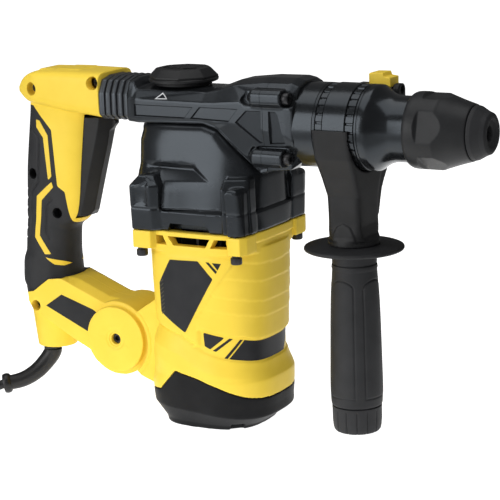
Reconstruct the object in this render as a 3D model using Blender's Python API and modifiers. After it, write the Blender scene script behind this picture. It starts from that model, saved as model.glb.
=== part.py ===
"""Rotary demolition hammer with a vertical motor, a sprung rear D handle and a clamp-on side handle.

Frame: +X along the barrel towards the chuck, +Z up, origin on the motor axis at the foot.
The dimensions below are in millimetres; meshes are made in metres.
"""

import math

import bmesh
import bpy
from mathutils import Matrix, Vector

# ---------------------------------------------------------------- driving dimensions (mm)
MM = 0.001
GAP = 0.3                       # clearance between touching pieces
BARREL_Z = 227.7                # height of the barrel axis
CASE_SPLIT_Z = 150.6            # motor flange / gear case joint
FLANGE_Z = (137.5, 150.4)       # yellow motor flange
BOLT_X, BOLT_Y = 40.0, 46.0     # motor flange bolt pattern
NOSE_SPLIT_X = 56.0             # barrel housing / nose joint
NOSE_SCREW_Y, NOSE_SCREW_DZ = 28.0, 21.5
CLAMP_R = 29.0                  # nose radius under the clamp band
BAND_R = (29.3, 31.0)
BAND_X = (103.0, 120.5)
SIDE_X = 111.3                  # side handle axis
KNOB_X = -27.0                  # mode knob axis
PIVOT = (-82.0, 57.0)           # lower pivot of the rear handle (X, Z)
PIVOT_R = 25.5
TRIGGER_HINGE = (-111.0, 220.5)
GEAR_MODULE = 1.1               # motor pinion 9 teeth, two driven gears of 29 teeth
PINION_TEETH, WHEEL_TEETH = 9, 29
GEAR_OFFSET = GEAR_MODULE * (PINION_TEETH + WHEEL_TEETH) / 2
GEAR_Z = (166.0, 174.0)
BEVEL_MODULE = 2.0              # bevel pinion 8 teeth, spindle gear 24 teeth
BEVEL_TEETH, CROWN_TEETH = 8, 24
CRANK_R = 11.0
ROD_LENGTH = 50.0
CORD_R = 3.75                   # 7.5 mm cord
COIL_AT = (-300.0, 0.0)         # centre of the stored coil
COIL_R = (33.5, 58.0)
COIL_H = 24.6
ROUND = 24                      # facets on large round pieces

# ---------------------------------------------------------------- scene
for old in list(bpy.data.objects):
    bpy.data.objects.remove(old, do_unlink=True)


def new_collection(name):
    group = bpy.data.collections.new(name)
    bpy.context.scene.collection.children.link(group)
    return group


PARTS = new_collection("demolition_hammer")
CUTTERS = new_collection("cutters")


def material(name, rgb, roughness, metallic=0.0):
    mat = bpy.data.materials.new(name)
    mat.use_nodes = True
    shader = mat.node_tree.nodes["Principled BSDF"]
    shader.inputs["Base Color"].default_value = (*rgb, 1.0)
    shader.inputs["Roughness"].default_value = roughness
    shader.inputs["Metallic"].default_value = metallic
    return mat


YELLOW = material("yellow_plastic", (0.83, 0.56, 0.045), 0.42)
DARK = material("dark_plastic", (0.028, 0.028, 0.030), 0.50)
PAINT = material("black_paint", (0.020, 0.021, 0.023), 0.33, 0.25)
RUBBER = material("black_rubber", (0.022, 0.022, 0.023), 0.72)
CORD = material("cord_rubber", (0.016, 0.016, 0.017), 0.60)
STEEL = material("steel", (0.56, 0.57, 0.58), 0.30, 1.0)
BLACK_STEEL = material("black_steel", (0.045, 0.045, 0.047), 0.38, 0.9)
CORE = material("electrical_steel", (0.33, 0.33, 0.35), 0.45, 1.0)
COPPER = material("copper", (0.72, 0.38, 0.20), 0.35, 1.0)
CARBON = material("carbon", (0.05, 0.05, 0.05), 0.60)
BRASS = material("brass", (0.70, 0.55, 0.25), 0.35, 1.0)


# ---------------------------------------------------------------- modelling helpers
def mesh_object(name, bm, mat=None, smooth=True):
    bmesh.ops.remove_doubles(bm, verts=bm.verts, dist=1e-7)
    bmesh.ops.recalc_face_normals(bm, faces=bm.faces)
    mesh = bpy.data.meshes.new(name)
    bm.to_mesh(mesh)
    bm.free()
    if smooth:
        mesh.shade_smooth()
        mesh.set_sharp_from_angle(angle=math.radians(35))
    if mat:
        mesh.materials.append(mat)
    ob = bpy.data.objects.new(name, mesh)
    PARTS.objects.link(ob)
    return ob


def set_origin(ob, point):
    """Move a piece's origin to a point in mm, leaving the piece where it is."""
    target = Vector(point) * MM
    ob.data.transform(Matrix.Translation(ob.matrix_basis.inverted() @ target).inverted())
    ob.matrix_basis = Matrix.Translation(target - ob.matrix_basis.translation) @ ob.matrix_basis


def box(name, lo, hi, mat=None):
    bm = bmesh.new()
    bmesh.ops.create_cube(bm, size=1.0)
    lo, hi = Vector(lo) * MM, Vector(hi) * MM
    bmesh.ops.scale(bm, verts=bm.verts, vec=hi - lo)
    bmesh.ops.translate(bm, verts=bm.verts, vec=(lo + hi) / 2)
    return mesh_object(name, bm, mat, smooth=False)


AXIS_TURN = {
    "Z": Matrix.Identity(4),
    "X": Matrix.Rotation(math.pi / 2, 4, "Y"),
    "Y": Matrix.Rotation(-math.pi / 2, 4, "X"),
}


def rod(name, radius, start, length, axis="Z", mat=None, sides=20, end_radius=None):
    """A cylinder or cone from a start point along an axis."""
    bm = bmesh.new()
    bmesh.ops.create_cone(bm, cap_ends=True, segments=sides, radius1=radius * MM,
                          radius2=(radius if end_radius is None else end_radius) * MM, depth=length * MM)
    bmesh.ops.translate(bm, verts=bm.verts, vec=(0, 0, length * MM / 2))
    bmesh.ops.transform(bm, verts=bm.verts, matrix=Matrix.Translation(Vector(start) * MM) @ AXIS_TURN[axis])
    return mesh_object(name, bm, mat)


def turned(name, profile, mat=None, axis="Z", at=(0, 0, 0), steps=ROUND):
    """A turned piece: (radius, height) pairs that run down the outer side. A profile that starts off
    the axis is a closed section, so it makes a tube."""
    mesh = bpy.data.meshes.new(name)
    count = len(profile)
    edges = [(i, i + 1) for i in range(count - 1)]
    if profile[0][0] > 0:
        edges.append((count - 1, 0))
    mesh.from_pydata([(r * MM, 0.0, h * MM) for r, h in profile], edges, [])
    if mat:
        mesh.materials.append(mat)
    ob = bpy.data.objects.new(name, mesh)
    PARTS.objects.link(ob)
    ob.matrix_basis = Matrix.Translation(Vector(at) * MM) @ AXIS_TURN[axis]
    turn = ob.modifiers.new("turn", "SCREW")
    turn.axis = "Z"
    turn.angle = 2 * math.pi
    turn.steps = turn.render_steps = steps
    turn.use_merge_vertices = True
    turn.merge_threshold = 1e-6
    return ob


def outline(name, points, lo, hi, axis="Y", mat=None):
    """A flat outline given thickness: (x, z) points for axis Y, (x, y) for Z, (y, z) for X."""
    curve = bpy.data.curves.new(name, "CURVE")
    curve.dimensions = "2D"
    curve.fill_mode = "BOTH"
    curve.extrude = (hi - lo) / 2 * MM
    spline = curve.splines.new("POLY")
    spline.points.add(len(points) - 1)
    for p, (u, v) in zip(spline.points, points):
        p.co = (u * MM, v * MM, 0.0, 1.0)
    spline.use_cyclic_u = True
    flat = bpy.data.objects.new(name + "_outline", curve)
    PARTS.objects.link(flat)
    depsgraph = bpy.context.evaluated_depsgraph_get()
    mesh = bpy.data.meshes.new_from_object(flat.evaluated_get(depsgraph))
    bpy.data.objects.remove(flat, do_unlink=True)
    bpy.data.curves.remove(curve)
    bm = bmesh.new()
    bm.from_mesh(mesh)
    bpy.data.meshes.remove(mesh)
    middle = (lo + hi) / 2 * MM
    turn = {
        "Z": Matrix.Translation((0, 0, middle)),
        "Y": Matrix.Translation((0, middle, 0)) @ Matrix.Rotation(math.pi / 2, 4, "X"),
        "X": Matrix.Translation((middle, 0, 0)) @ Matrix(((0, 0, 1, 0), (1, 0, 0, 0), (0, 1, 0, 0), (0, 0, 0, 1))),
    }[axis]
    bmesh.ops.transform(bm, verts=bm.verts, matrix=turn)
    bmesh.ops.remove_doubles(bm, verts=bm.verts, dist=1e-6)
    return mesh_object(name, bm, mat)


def loft(name, rings, mat=None, closed_loop=False):
    """A skin over rings of equal point count, capped at both ends."""
    bm = bmesh.new()
    loops = [[bm.verts.new(Vector(p) * MM) for p in ring] for ring in rings]
    pairs = list(zip(loops, loops[1:]))
    if closed_loop:
        pairs.append((loops[-1], loops[0]))
    for low, high in pairs:
        for i in range(len(low)):
            j = (i + 1) % len(low)
            bm.faces.new((low[i], low[j], high[j], high[i]))
    if not closed_loop:
        bm.faces.new(loops[0][::-1])
        bm.faces.new(loops[-1])
    bmesh.ops.triangulate(bm, faces=[f for f in bm.faces if len(f.verts) == 4])
    return mesh_object(name, bm, mat)


def squircle(a, b, power, count, cx=0.0, cy=0.0):
    ring = []
    for i in range(count):
        t = 2 * math.pi * (i + 0.5) / count
        c, s = math.cos(t), math.sin(t)
        ring.append((cx + a * math.copysign(abs(c) ** (2 / power), c),
                     cy + b * math.copysign(abs(s) ** (2 / power), s)))
    return ring


def flat_ring(z, a, b, power, count=20, cx=0.0, cy=0.0):
    return [(x, y, z) for x, y in squircle(a, b, power, count, cx, cy)]


def cut(target, tool, operation="DIFFERENCE"):
    mod = target.modifiers.new(tool.name, "BOOLEAN")
    mod.operation = operation
    mod.solver = "EXACT"
    mod.object = tool
    if tool.name not in CUTTERS.objects:
        PARTS.objects.unlink(tool)
        CUTTERS.objects.link(tool)
        tool.hide_render = True
        tool.display_type = "WIRE"
    return target


def join(target, tool):
    return cut(target, tool, "UNION")


def keep(target, tool):
    return cut(target, tool, "INTERSECT")


def gear_outline(teeth, module, cx=0.0, cy=0.0, addendum=0.75, dedendum=1.1, scale=1.0):
    """Thin straight-sided teeth with a tooth on the first axis."""
    pitch = teeth * module / 2
    root, tip = (pitch - dedendum * module) * scale, (pitch + addendum * module) * scale
    step = 2 * math.pi / teeth
    points = []
    for i in range(teeth):
        for radius, part in ((root, -0.24), (tip, -0.10), (tip, 0.10), (root, 0.24)):
            angle = (i + part) * step
            points.append((cx + radius * math.cos(angle), cy + radius * math.sin(angle)))
    return points


def smooth_path(points, spacing):
    """Evenly spaced points on a Catmull-Rom curve through a route's points."""
    pts = [Vector(p) for p in points]
    pts = [2 * pts[0] - pts[1]] + pts + [2 * pts[-1] - pts[-2]]
    fine = []
    for a, b, c, d in zip(pts, pts[1:], pts[2:], pts[3:]):
        for k in range(24):
            t = k / 24
            fine.append(0.5 * (2 * b + (c - a) * t + (2 * a - 5 * b + 4 * c - d) * t * t
                               + (3 * b - a - 3 * c + d) * t ** 3))
    fine.append(pts[-2])
    lengths = [0.0]
    for a, b in zip(fine, fine[1:]):
        lengths.append(lengths[-1] + (b - a).length)
    count = max(2, round(lengths[-1] / spacing))
    out, k = [], 0
    for i in range(count + 1):
        want = lengths[-1] * i / count
        while k < len(fine) - 2 and lengths[k + 1] < want:
            k += 1
        share = (want - lengths[k]) / max(1e-9, lengths[k + 1] - lengths[k])
        out.append(fine[k].lerp(fine[k + 1], min(1.0, share)))
    return out


def tube(name, points, radius, mat, resolution=2):
    """A round cord along a route: a curve with depth and filled ends."""
    curve = bpy.data.curves.new(name, "CURVE")
    curve.dimensions = "3D"
    curve.bevel_depth = radius * MM
    curve.bevel_resolution = resolution
    curve.use_fill_caps = True
    spline = curve.splines.new("POLY")
    spline.points.add(len(points) - 1)
    for p, q in zip(spline.points, points):
        p.co = (*(Vector(q) * MM), 1.0)
    curve.materials.append(mat)
    ob = bpy.data.objects.new(name, curve)
    PARTS.objects.link(ob)
    return ob


def ring_stack(name, path, radii, mat, sides=12):
    """A round body of changing radius along a path."""
    rings = []
    for i, p in enumerate(path):
        ahead = path[min(i + 1, len(path) - 1)] - path[max(i - 1, 0)]
        ahead.normalize()
        side = ahead.cross(Vector((0, 0, 1))).normalized()
        up = side.cross(ahead)
        rings.append([p + radii[i] * (math.cos(t) * side + math.sin(t) * up)
                      for t in (2 * math.pi * k / sides for k in range(sides))])
    return loft(name, rings, mat)


# ---------------------------------------------------------------- motor housing and foot
BODY_RINGS = (  # height, half length, half width of the motor body
    (0.0, 35.4, 34.6), (4.2, 37.0, 36.2), (17.0, 48.2, 45.8), (24.0, 48.8, 46.3), (38.0, 49.4, 47.0),
    (48.0, 48.6, 46.2), (56.0, 45.2, 43.2), (61.0, 43.4, 41.6), (78.0, 43.4, 41.6), (83.0, 45.6, 43.6),
    (110.0, 46.6, 44.6), (137.8, 47.0, 45.0))
BORDER = ((-70, 29), (-31, 29), (-16, 45), (3, 41), (20, 36), (37, 31.5), (60, 25))


def motor_body(name, mat=None):
    return loft(name, [flat_ring(z, a, b, 2.8, 24) for z, a, b in BODY_RINGS], mat)


def below_border(name, offset):
    top = [(x, z + offset) for x, z in BORDER]
    return outline(name, top[::-1] + [(-70, -10), (60, -10)], -70, 70, "Y")


def lug(name, sx, sy, z0, z1, chamfer):
    """A corner lug of the flange joint."""
    def ring(z, inset):
        return [(sx * x, sy * y, z) for x, y in ((30 + inset, 30), (48 - inset, 30), (48 - inset, 44 - inset),
                                               (45 - inset, 50.5 - inset), (30 + inset, 50.5 - inset))]
    rings = [ring(z0, 0), ring(z1 - chamfer, 0)]
    if chamfer:
        rings.append(ring(z1, 0.9 * chamfer))
    return loft(name, rings)


CORNERS = [(1, -1), (1, 1), (-1, 1), (-1, -1)]

motor_housing = motor_body("motor_housing", YELLOW)
cut(motor_housing, below_border("housing_border", 0.15))
flange = loft("flange_plate", [flat_ring(z, 47.5, 44.5, 4.0) for z in (FLANGE_Z[0] - 2, FLANGE_Z[1])])
join(motor_housing, flange)
for n, (sx, sy) in enumerate(CORNERS):
    join(motor_housing, lug(f"flange_lug_{n}", sx, sy, FLANGE_Z[0], FLANGE_Z[1], 0))

# rear bracket with a hollow end around the handle's pivot disc, and the pivot lug inside it
bracket_arc = [(PIVOT[0] + 29.5 * math.cos(t), PIVOT[1] + 29.5 * math.sin(t))
               for t in (math.radians(50 - 100 * k / 12) for k in range(13))]
bracket = outline("rear_bracket", [(-30, 98), (-44, 92.4)] + bracket_arc + [(-44, 30.5), (-30, 30.5)], -26, 26, "Y")
join(motor_housing, bracket)
lug_end = [(PIVOT[0] + 12.5 * math.cos(t), PIVOT[1] + 12.5 * math.sin(t))
           for t in (math.radians(90 + 180 * k / 8) for k in range(9))]
join(motor_housing, outline("pivot_lug", lug_end + [(-36, PIVOT[1] - 12.5), (-36, PIVOT[1] + 12.5)], -8.7, 8.7, "Y"))
cut(motor_housing, rod("pivot_bore", 4.25, (PIVOT[0], -30, PIVOT[1]), 60, "Y", sides=16))
cut(motor_housing, rod("stator_bore", 36.4, (0, 0, 20), 105, "Z", sides=24))
cut(motor_housing, loft("fan_chamber", [flat_ring(z, 42.5, 39.5, 3.0) for z in (119, 160)]))
for n, (x0, x1, lean0, lean1) in enumerate(((-32, -21.5, 0, 3), (-16.5, 15, -3, -3), (19.0, 29.5, 3, 0))):
    cut(motor_housing, outline(f"vent_{n}", [(x0, 147), (x1 - lean1 if n else x1 - 3, 147), (x1, 141.2),
                                           (x0 + (3 if n == 1 else 0), 141.2)], -60, 60, "Y"))
for n, (sx, sy) in enumerate(CORNERS):
    cut(motor_housing, rod(f"flange_hole_{n}", 2.8, (sx * BOLT_X, sy * BOLT_Y, 130), 30, "Z", sides=8))

bottom_cap = motor_body("bottom_cap", DARK)
keep(bottom_cap, below_border("cap_border", -0.15))
cut(bottom_cap, turned("cap_cavity", [(0, 60), (34, 60), (34, 5), (15, 5), (15, 24), (11.3, 24), (11.3, 15.7),
                                      (0, 15.7)], steps=20))

# ---------------------------------------------------------------- gear case and barrel housing
# sections of the barrel housing: x, bottom z, bottom half width, side half width, lower and upper crease z,
# deck edge half width and z, crown z
BARREL_SECTIONS = (
    (-62.0, 226.0, 22.5, 25.0, 229.5, 243.5, 21.0, 255.5, 258.0),
    (-57.5, 225.8, 23.0, 25.6, 229.5, 243.5, 21.3, 255.5, 258.0),
    (-53.6, 225.6, 24.0, 26.4, 229.5, 243.5, 23.0, 250.5, 252.0),
    (5.0, 227.5, 27.0, 29.2, 231.5, 243.5, 23.0, 250.5, 252.0),
    (16.0, 224.5, 27.5, 29.8, 229.0, 244.0, 22.5, 253.5, 256.0),
    (28.0, 213.5, 27.5, 30.3, 219.0, 245.0, 21.0, 259.0, 262.5),
    (51.0, 192.5, 24.0, 31.0, 201.5, 247.5, 20.0, 261.5, 264.5),
    (58.0, 190.0, 23.0, 31.0, 200.0, 248.0, 20.0, 261.5, 264.5),
)


def barrel_ring(section):
    x, zb, wb, w, z1, z2, wt, zt, zc = section
    half = [(wb, zb), (w, z1), (w, z2), (wt, zt), (0.45 * wt, zc)]
    return [(x, -y, z) for y, z in half] + [(x, y, z) for y, z in half[::-1]]


gear_case = loft("gear_case", [flat_ring(z, a, b, n, cx=cx) for z, cx, a, b, n in (
    (CASE_SPLIT_Z + 0.1, 0.0, 48.0, 44.0, 3.6), (160.0, 0.0, 48.0, 43.0, 3.6), (163.0, -3.5, 50.5, 39.5, 3.5),
    (190.0, -5.0, 52.0, 35.5, 3.6), (213.0, -5.0, 52.0, 32.0, 3.6), (220.0, -5.0, 50.5, 30.5, 3.4),
    (229.0, -6.0, 54.0, 29.0, 3.4))], PAINT)
for n, (sx, sy) in enumerate(CORNERS):
    join(gear_case, lug(f"case_lug_{n}", sx, sy, CASE_SPLIT_Z + 0.1, 190.5, 6.5))
seam = [(s[0], s[1] - GAP) for s in BARREL_SECTIONS]
cut(gear_case, outline("case_top", [(-70, seam[0][1])] + seam + [(70, seam[-1][1]), (70, 260), (-70, 260)],
                       -60, 60, "Y"))
cut(gear_case, loft("case_cavity", [flat_ring(z, a, b, 3.0) for z, a, b in (
    (158.0, 43.0, 33.5), (190.0, 43.0, 30.5), (214.0, 42.0, 26.5), (240.0, 41.5, 24.5))]))
cut(gear_case, rod("bearing_seat", 11.3, (0, 0, 140), 30, "Z", sides=24))
for n, (sx, sy) in enumerate(CORNERS):
    cut(gear_case, rod(f"case_hole_{n}", 2.8, (sx * BOLT_X, sy * BOLT_Y, 140), 37, "Z", sides=8))

barrel_housing = loft("barrel_housing", [barrel_ring(s) for s in BARREL_SECTIONS], PAINT)
screw_places = [(sy * NOSE_SCREW_Y, BARREL_Z + sz * NOSE_SCREW_DZ) for sy, sz in ((-1, 1), (-1, -1), (1, -1), (1, 1))]
for n, (y, z) in enumerate(screw_places):
    join(barrel_housing, turned(f"barrel_boss_{n}", [(0, 58.5), (7.6, 58.5), (7.6, 51.0), (5.0, 44.0), (0, 44.0)], None, "X",
                                (0, y, z), 12))
cut(barrel_housing, box("barrel_front", (NOSE_SPLIT_X, -60, 150), (80, 60, 300)))
cut(barrel_housing, rod("gear_space", 26.2, (24, 0, BARREL_Z), 60, "X", sides=20))
cut(barrel_housing, box("crank_space", (-42, -20, 200), (27, 20, 245)))
for n, (y, z) in enumerate(screw_places):
    cut(barrel_housing, rod(f"barrel_hole_{n}", 2.6, (45.5, y, z), 40, "X", sides=8))
cut(barrel_housing, rod("selector_hole", 7.3, (KNOB_X, 0, 230), 40, "Z", sides=16))

# ---------------------------------------------------------------- nose
nose_housing = turned("nose_housing", [
    (30.6, 70.0), (30.6, 102.6), (CLAMP_R, 102.7), (CLAMP_R, 120.8), (30.6, 120.9), (30.2, 134.5), (23.4, 147.8),
    (23.3, 168.0), (17.2, 168.0), (17.2, 124.0), (24.3, 124.0), (24.3, 70.0)][::-1], PAINT, "X", (0, 0, BARREL_Z), 22)
nose_block = loft("nose_block", [barrel_ring((54.0,) + BARREL_SECTIONS[-1][1:]),
                                 barrel_ring((74.0, 193.5, 21.0, 31.0, 202.5, 247.5, 20.0, 261.0, 264.0)),
                                 barrel_ring((80.0, 199.5, 16.0, 30.6, 214.0, 241.0, 18.0, 256.5, 260.5))])
join(nose_housing, nose_block)
for n, (y, z) in enumerate(screw_places):
    join(nose_housing, rod(f"nose_boss_{n}", 7.6, (53.0, y, z), 19.0, "X", sides=12))
cut(nose_housing, box("nose_back", (30, -60, 150), (NOSE_SPLIT_X + GAP, 60, 300)))
cut(nose_housing, rod("nose_bore", 24.2, (40, 0, BARREL_Z), 62, "X", sides=22))
for n, (y, z) in enumerate(screw_places):
    cut(nose_housing, rod(f"screw_clearance_{n}", 5.0, (72.0, y, z), 20, "X", sides=12))
    cut(nose_housing, rod(f"nose_hole_{n}", 2.7, (50, y, z), 30, "X", sides=8))

for n, (y, z) in enumerate(screw_places, 1):
    turned(f"nose_screw_{n}", [(0, 76.8), (3.9, 76.8), (4.25, 76.3), (4.25, 72.3), (2.3, 72.3), (2.3, 46.5), (0, 46.5)],
           BLACK_STEEL, "X", (0, y, z), 10)
for n, (sx, sy) in enumerate(CORNERS, 1):
    turned(f"flange_bolt_{n}", [(0, 175.0), (2.4, 175.0), (2.4, 137.2), (4.25, 137.2), (4.25, 131.5), (3.9, 131.0),
                                (0, 131.0)], BLACK_STEEL, "Z", (sx * BOLT_X, sy * BOLT_Y, 0), 10)

# ---------------------------------------------------------------- bellows and mode knob
def bellows_ring(x, grow):
    half = [(18.0 + grow, 227.0 - grow), (23.0 + grow, 230.5), (23.0 + grow, 246.0), (18.5 + grow, 255.0 + grow),
            (8.0, 257.5 + grow)]
    return [(x, -y, z) for y, z in half] + [(x, y, z) for y, z in half[::-1]]


bellows_x = [-87.6 + 25.2 * k / 12 for k in range(13)]
bellows = loft("bellows", [bellows_ring(x, 0.9 if k % 4 in (0, 1) else -0.9) for k, x in enumerate(bellows_x)], RUBBER)
cut(bellows, box("bellows_bore", (-100, -16, 232), (-50, 16, 250)))

mode_knob = turned("mode_knob", [(0, 265.0), (18.5, 265.0), (21.0, 263.4), (23.5, 258.6), (26.0, 256.4), (26.0, 253.4),
                                 (25.0, 252.4), (7.0, 252.4), (7.0, 242.0), (0, 242.0)], DARK, "Z", (KNOB_X, 0, 0), 18)

# ---------------------------------------------------------------- rear handle
GRIP_SECTIONS = (  # height, centre x, half depth, half width, fullness
    (244.0, -130.5, 23.5, 19.0, 2.6), (232.0, -132.2, 25.7, 18.5, 2.7), (219.0, -136.0, 28.0, 17.5, 2.8),
    (187.0, -140.5, 28.5, 17.5, 2.8), (152.0, -144.2, 27.7, 17.5, 2.7), (144.0, -146.5, 26.0, 17.5, 2.5),
    (137.0, -151.0, 22.0, 18.0, 2.3), (120.0, -152.5, 22.0, 18.5, 2.3), (106.0, -152.5, 23.5, 20.0, 2.4),
    (96.0, -152.0, 24.0, 20.5, 2.5), (79.0, -151.0, 23.3, 20.3, 2.5), (69.0, -153.0, 16.5, 16.5, 2.2))
ARM_TOP = ((-166, 86.0), (-160, 87.3), (-144.5, 98.3), (-134, 99.5))
HEAD_SECTIONS = (  # x, bottom z, top z, half width
    (-88.0, 227.8, 262.0, 24.0), (-120.0, 230.8, 262.6, 24.0), (-148.0, 234.5, 261.5, 22.5),
    (-160.0, 237.5, 259.5, 19.5), (-168.5, 242.5, 255.0, 13.5))


def grip_loft(name, inset, mat=None, z_low=None, z_high=None):
    rings = [flat_ring(z, a - inset, b - inset, p, 16, cx=cx) for z, cx, a, b, p in GRIP_SECTIONS
             if (z_low is None or z >= z_low) and (z_high is None or z <= z_high)]
    return loft(name, rings, mat)


def head_loft(name):
    rings = []
    for x, zb, zt, w in HEAD_SECTIONS:
        zc, h = (zb + zt) / 2, (zt - zb) / 2
        rings.append([(x, y, zc + z) for y, z in squircle(w, h, 4.0, 16)])
    return loft(name, rings)


def circle(cx, cy, radius, a0, a1, count):
    return [(cx + radius * math.cos(math.radians(a0 + (a1 - a0) * k / count)),
             cy + radius * math.sin(math.radians(a0 + (a1 - a0) * k / count))) for k in range(count + 1)]


def overmold_zone(name, offset, drop):
    """Side outline of the rubber cover: behind the yellow column and all round below it."""
    edge = [(-154, 233), (-150.5, 229.5), (-137.5, 214.7), (-134.7, 171.3), (-128.5, 167), (-125.5, 143.0), (-122.5, 140.4),
            (-100, 140.4)]
    edge = [(x + (offset if z > 141 else 0), z + (0 if z > 141 else offset)) for x, z in edge]
    bottom = [(-100, 100 - drop)] + [(x, z - drop) for x, z in ARM_TOP[::-1]] + [(-195, 78.5 - drop)]
    return outline(name, edge + bottom + [(-195, 233)], -40, 40, "Y")


TRIGGER_SLOT = [(-70, 145.6), (-70, 227.2), (-127.2, 227.2), (-128.2, 213.0), (-135.0, 145.6)]  # room for the pressed trigger


def handle_shape(name, mat):
    """The whole handle before it is split: head, grip, lower arm, pivot disc and cord boss."""
    shape = grip_loft(name, 0, mat)
    join(shape, head_loft(name + "_head"))
    arm = ARM_TOP + ((-94, 83.5), (-82, 82.2), (-82, 33), (-97, 36), (-104.5, 42.8), (-124.8, 52.3), (-156.5, 69.4),
                     (-161, 70.8), (-165.5, 78.4))
    join(shape, outline(name + "_arm", arm, -21, 21, "Y"))
    join(shape, rod(name + "_arm_end", 28.9, (PIVOT[0], -23.4, PIVOT[1]), 46.8, "Y", sides=32))
    join(shape, rod(name + "_disc", PIVOT_R, (PIVOT[0], -26, PIVOT[1]), 52, "Y", sides=24))
    join(shape, rod(name + "_boss", 15.5, (-154, 0, 40.5), 34, "Z", sides=18, end_radius=19.0))
    cover = overmold_zone(name + "_cover_zone", 0.15, 0.6)
    cut(cover, grip_loft(name + "_cover_core", 2.8))
    cut(shape, cover)
    # hollow inside
    cut(shape, grip_loft(name + "_grip_hollow", 6.2, z_low=80, z_high=240))
    cut(shape, box(name + "_head_hollow", (-145.5, -16.4, 237), (-94, 16.4, 256)))
    cut(shape, box(name + "_arm_hollow", (-160, -15, 74.5), (-112, 15, 86)))
    cut(shape, rod(name + "_cord_hole", 3.4, (-158, 0, 30), 48, "Z", sides=12))
    cut(shape, outline(name + "_trigger_slot", TRIGGER_SLOT, -11.3, 11.3, "Y"))
    slot = circle(PIVOT[0], PIVOT[1], 14.8, 90, 270, 10) + [(-40, PIVOT[1] - 14.8), (-40, PIVOT[1] + 14.8)]
    cut(shape, outline(name + "_lug_slot", slot, -9.2, 9.2, "Y"))
    cut(shape, rod(name + "_pivot_hole", 4.25, (PIVOT[0], -40, PIVOT[1]), 80, "Y", sides=16))
    cut(shape, rod(name + "_bolt_sink", 7.4, (PIVOT[0], -40, PIVOT[1]), 18, "Y", sides=16))
    cut(shape, rod(name + "_nut_sink", 7.4, (PIVOT[0], 22, PIVOT[1]), 18, "Y", sides=16))
    return shape


SCREWS = ((-151.5, 246.5, -22.0), (-95.0, 253.0, -24.0), (-158.5, 179.5, -15.5), (-136.0, 150.0, -17.5),
          (-157.5, 76.5, -21.0))  # x, z, y of the near face
screw_holes = []
for n, (x, z, y) in enumerate(SCREWS, 1):
    hole = rod(f"screw_sink_{n}", 4.2, (x, -40, z), 40 + y + 5.0, "Y", sides=8)
    join(hole, rod(f"screw_shank_{n}", 1.9, (x, -30, z), 30 + 12.0, "Y", sides=6))
    screw_holes.append(hole)
    PARTS.objects.unlink(hole)
    CUTTERS.objects.link(hole)
    hole.hide_render = True
    hole.display_type = "WIRE"
    turned(f"handle_screw_{n}", [(0, 11.6), (1.55, 11.6), (1.55, y + 4.7), (3.5, y + 4.7), (3.3, y + 2.4), (0, y + 2.4)], BLACK_STEEL, "Y", (x, 0, z), 8)

for name, lo, hi in (("handle_shell_right", -60, -0.15), ("handle_shell_left", 0.15, 60)):
    shell = handle_shape(name, YELLOW)
    for hole in screw_holes:
        cut(shell, hole)
    keep(shell, box(name + "_side", (-220, lo, 0), (-30, hi, 300)))
    set_origin(shell, (PIVOT[0], 0, PIVOT[1]))

grip_overmold = grip_loft("grip_overmold", 0, RUBBER)
keep(grip_overmold, overmold_zone("cover_outline", 0.0, 0.3))
cut(grip_overmold, grip_loft("cover_core", 2.5))
for hole in screw_holes:
    cut(grip_overmold, hole)
cut(grip_overmold, head_loft("cover_head_clear"))
cut(grip_overmold, outline("cover_trigger_slot", TRIGGER_SLOT, -11.3, 11.3, "Y"))

trigger = outline("trigger", [(-120.0, 224.6), (-97.5, 225.4), (-92.5, 222.8), (-92.5, 220.0), (-99.8, 214.0), (-104.0, 201.5),
                              (-110.0, 179.5), (-117.0, 151.5), (-119.5, 147.6), (-124.0, 147.0)], -10.8, 10.8, "Y", DARK)
set_origin(trigger, (TRIGGER_HINGE[0], 0, TRIGGER_HINGE[1]))
trigger_switch = box("trigger_switch", (-152, -9.5, 160), (-134, 9.5, 205), DARK)
pivot_bolt = turned("pivot_bolt", [(0, 26.0), (5.5, 26.0), (6.2, 25.4), (6.2, 22.4), (4.0, 22.4), (4.0, -22.4), (6.6, -22.4),
                                   (6.6, -25.2), (6.0, -25.8), (0, -25.8)], BLACK_STEEL, "Y", (PIVOT[0], 0, PIVOT[1]), 12)

# ---------------------------------------------------------------- cord
BOOT_ROUTE = ((-158.5, -1.5, 39.6), (-158.6, -1.6, 33.5), (-162.6, -4.8, 26.0), (-168.8, -11.2, 17.8),
              (-177.4, -18.6, 12.0), (-190.0, -26.5, 9.0))
boot_path = smooth_path(BOOT_ROUTE, 6.0)
last = len(boot_path) - 1
boot_radii = [7.3 - 1.5 * i / last for i in range(last + 1)]
boot_radii[last] = 7.2
boot_radii[last - 1] = 8.2
strain_relief = ring_stack("strain_relief", boot_path, boot_radii, RUBBER)

end_dir = (boot_path[-1] - boot_path[-2]).normalized()
cord_start = boot_path[-1] + 0.4 * end_dir


def on_coil(radius, degrees, z):
    turn = math.radians(degrees)
    return Vector((COIL_AT[0] + radius * math.cos(turn), COIL_AT[1] + radius * math.sin(turn), z))


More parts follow.
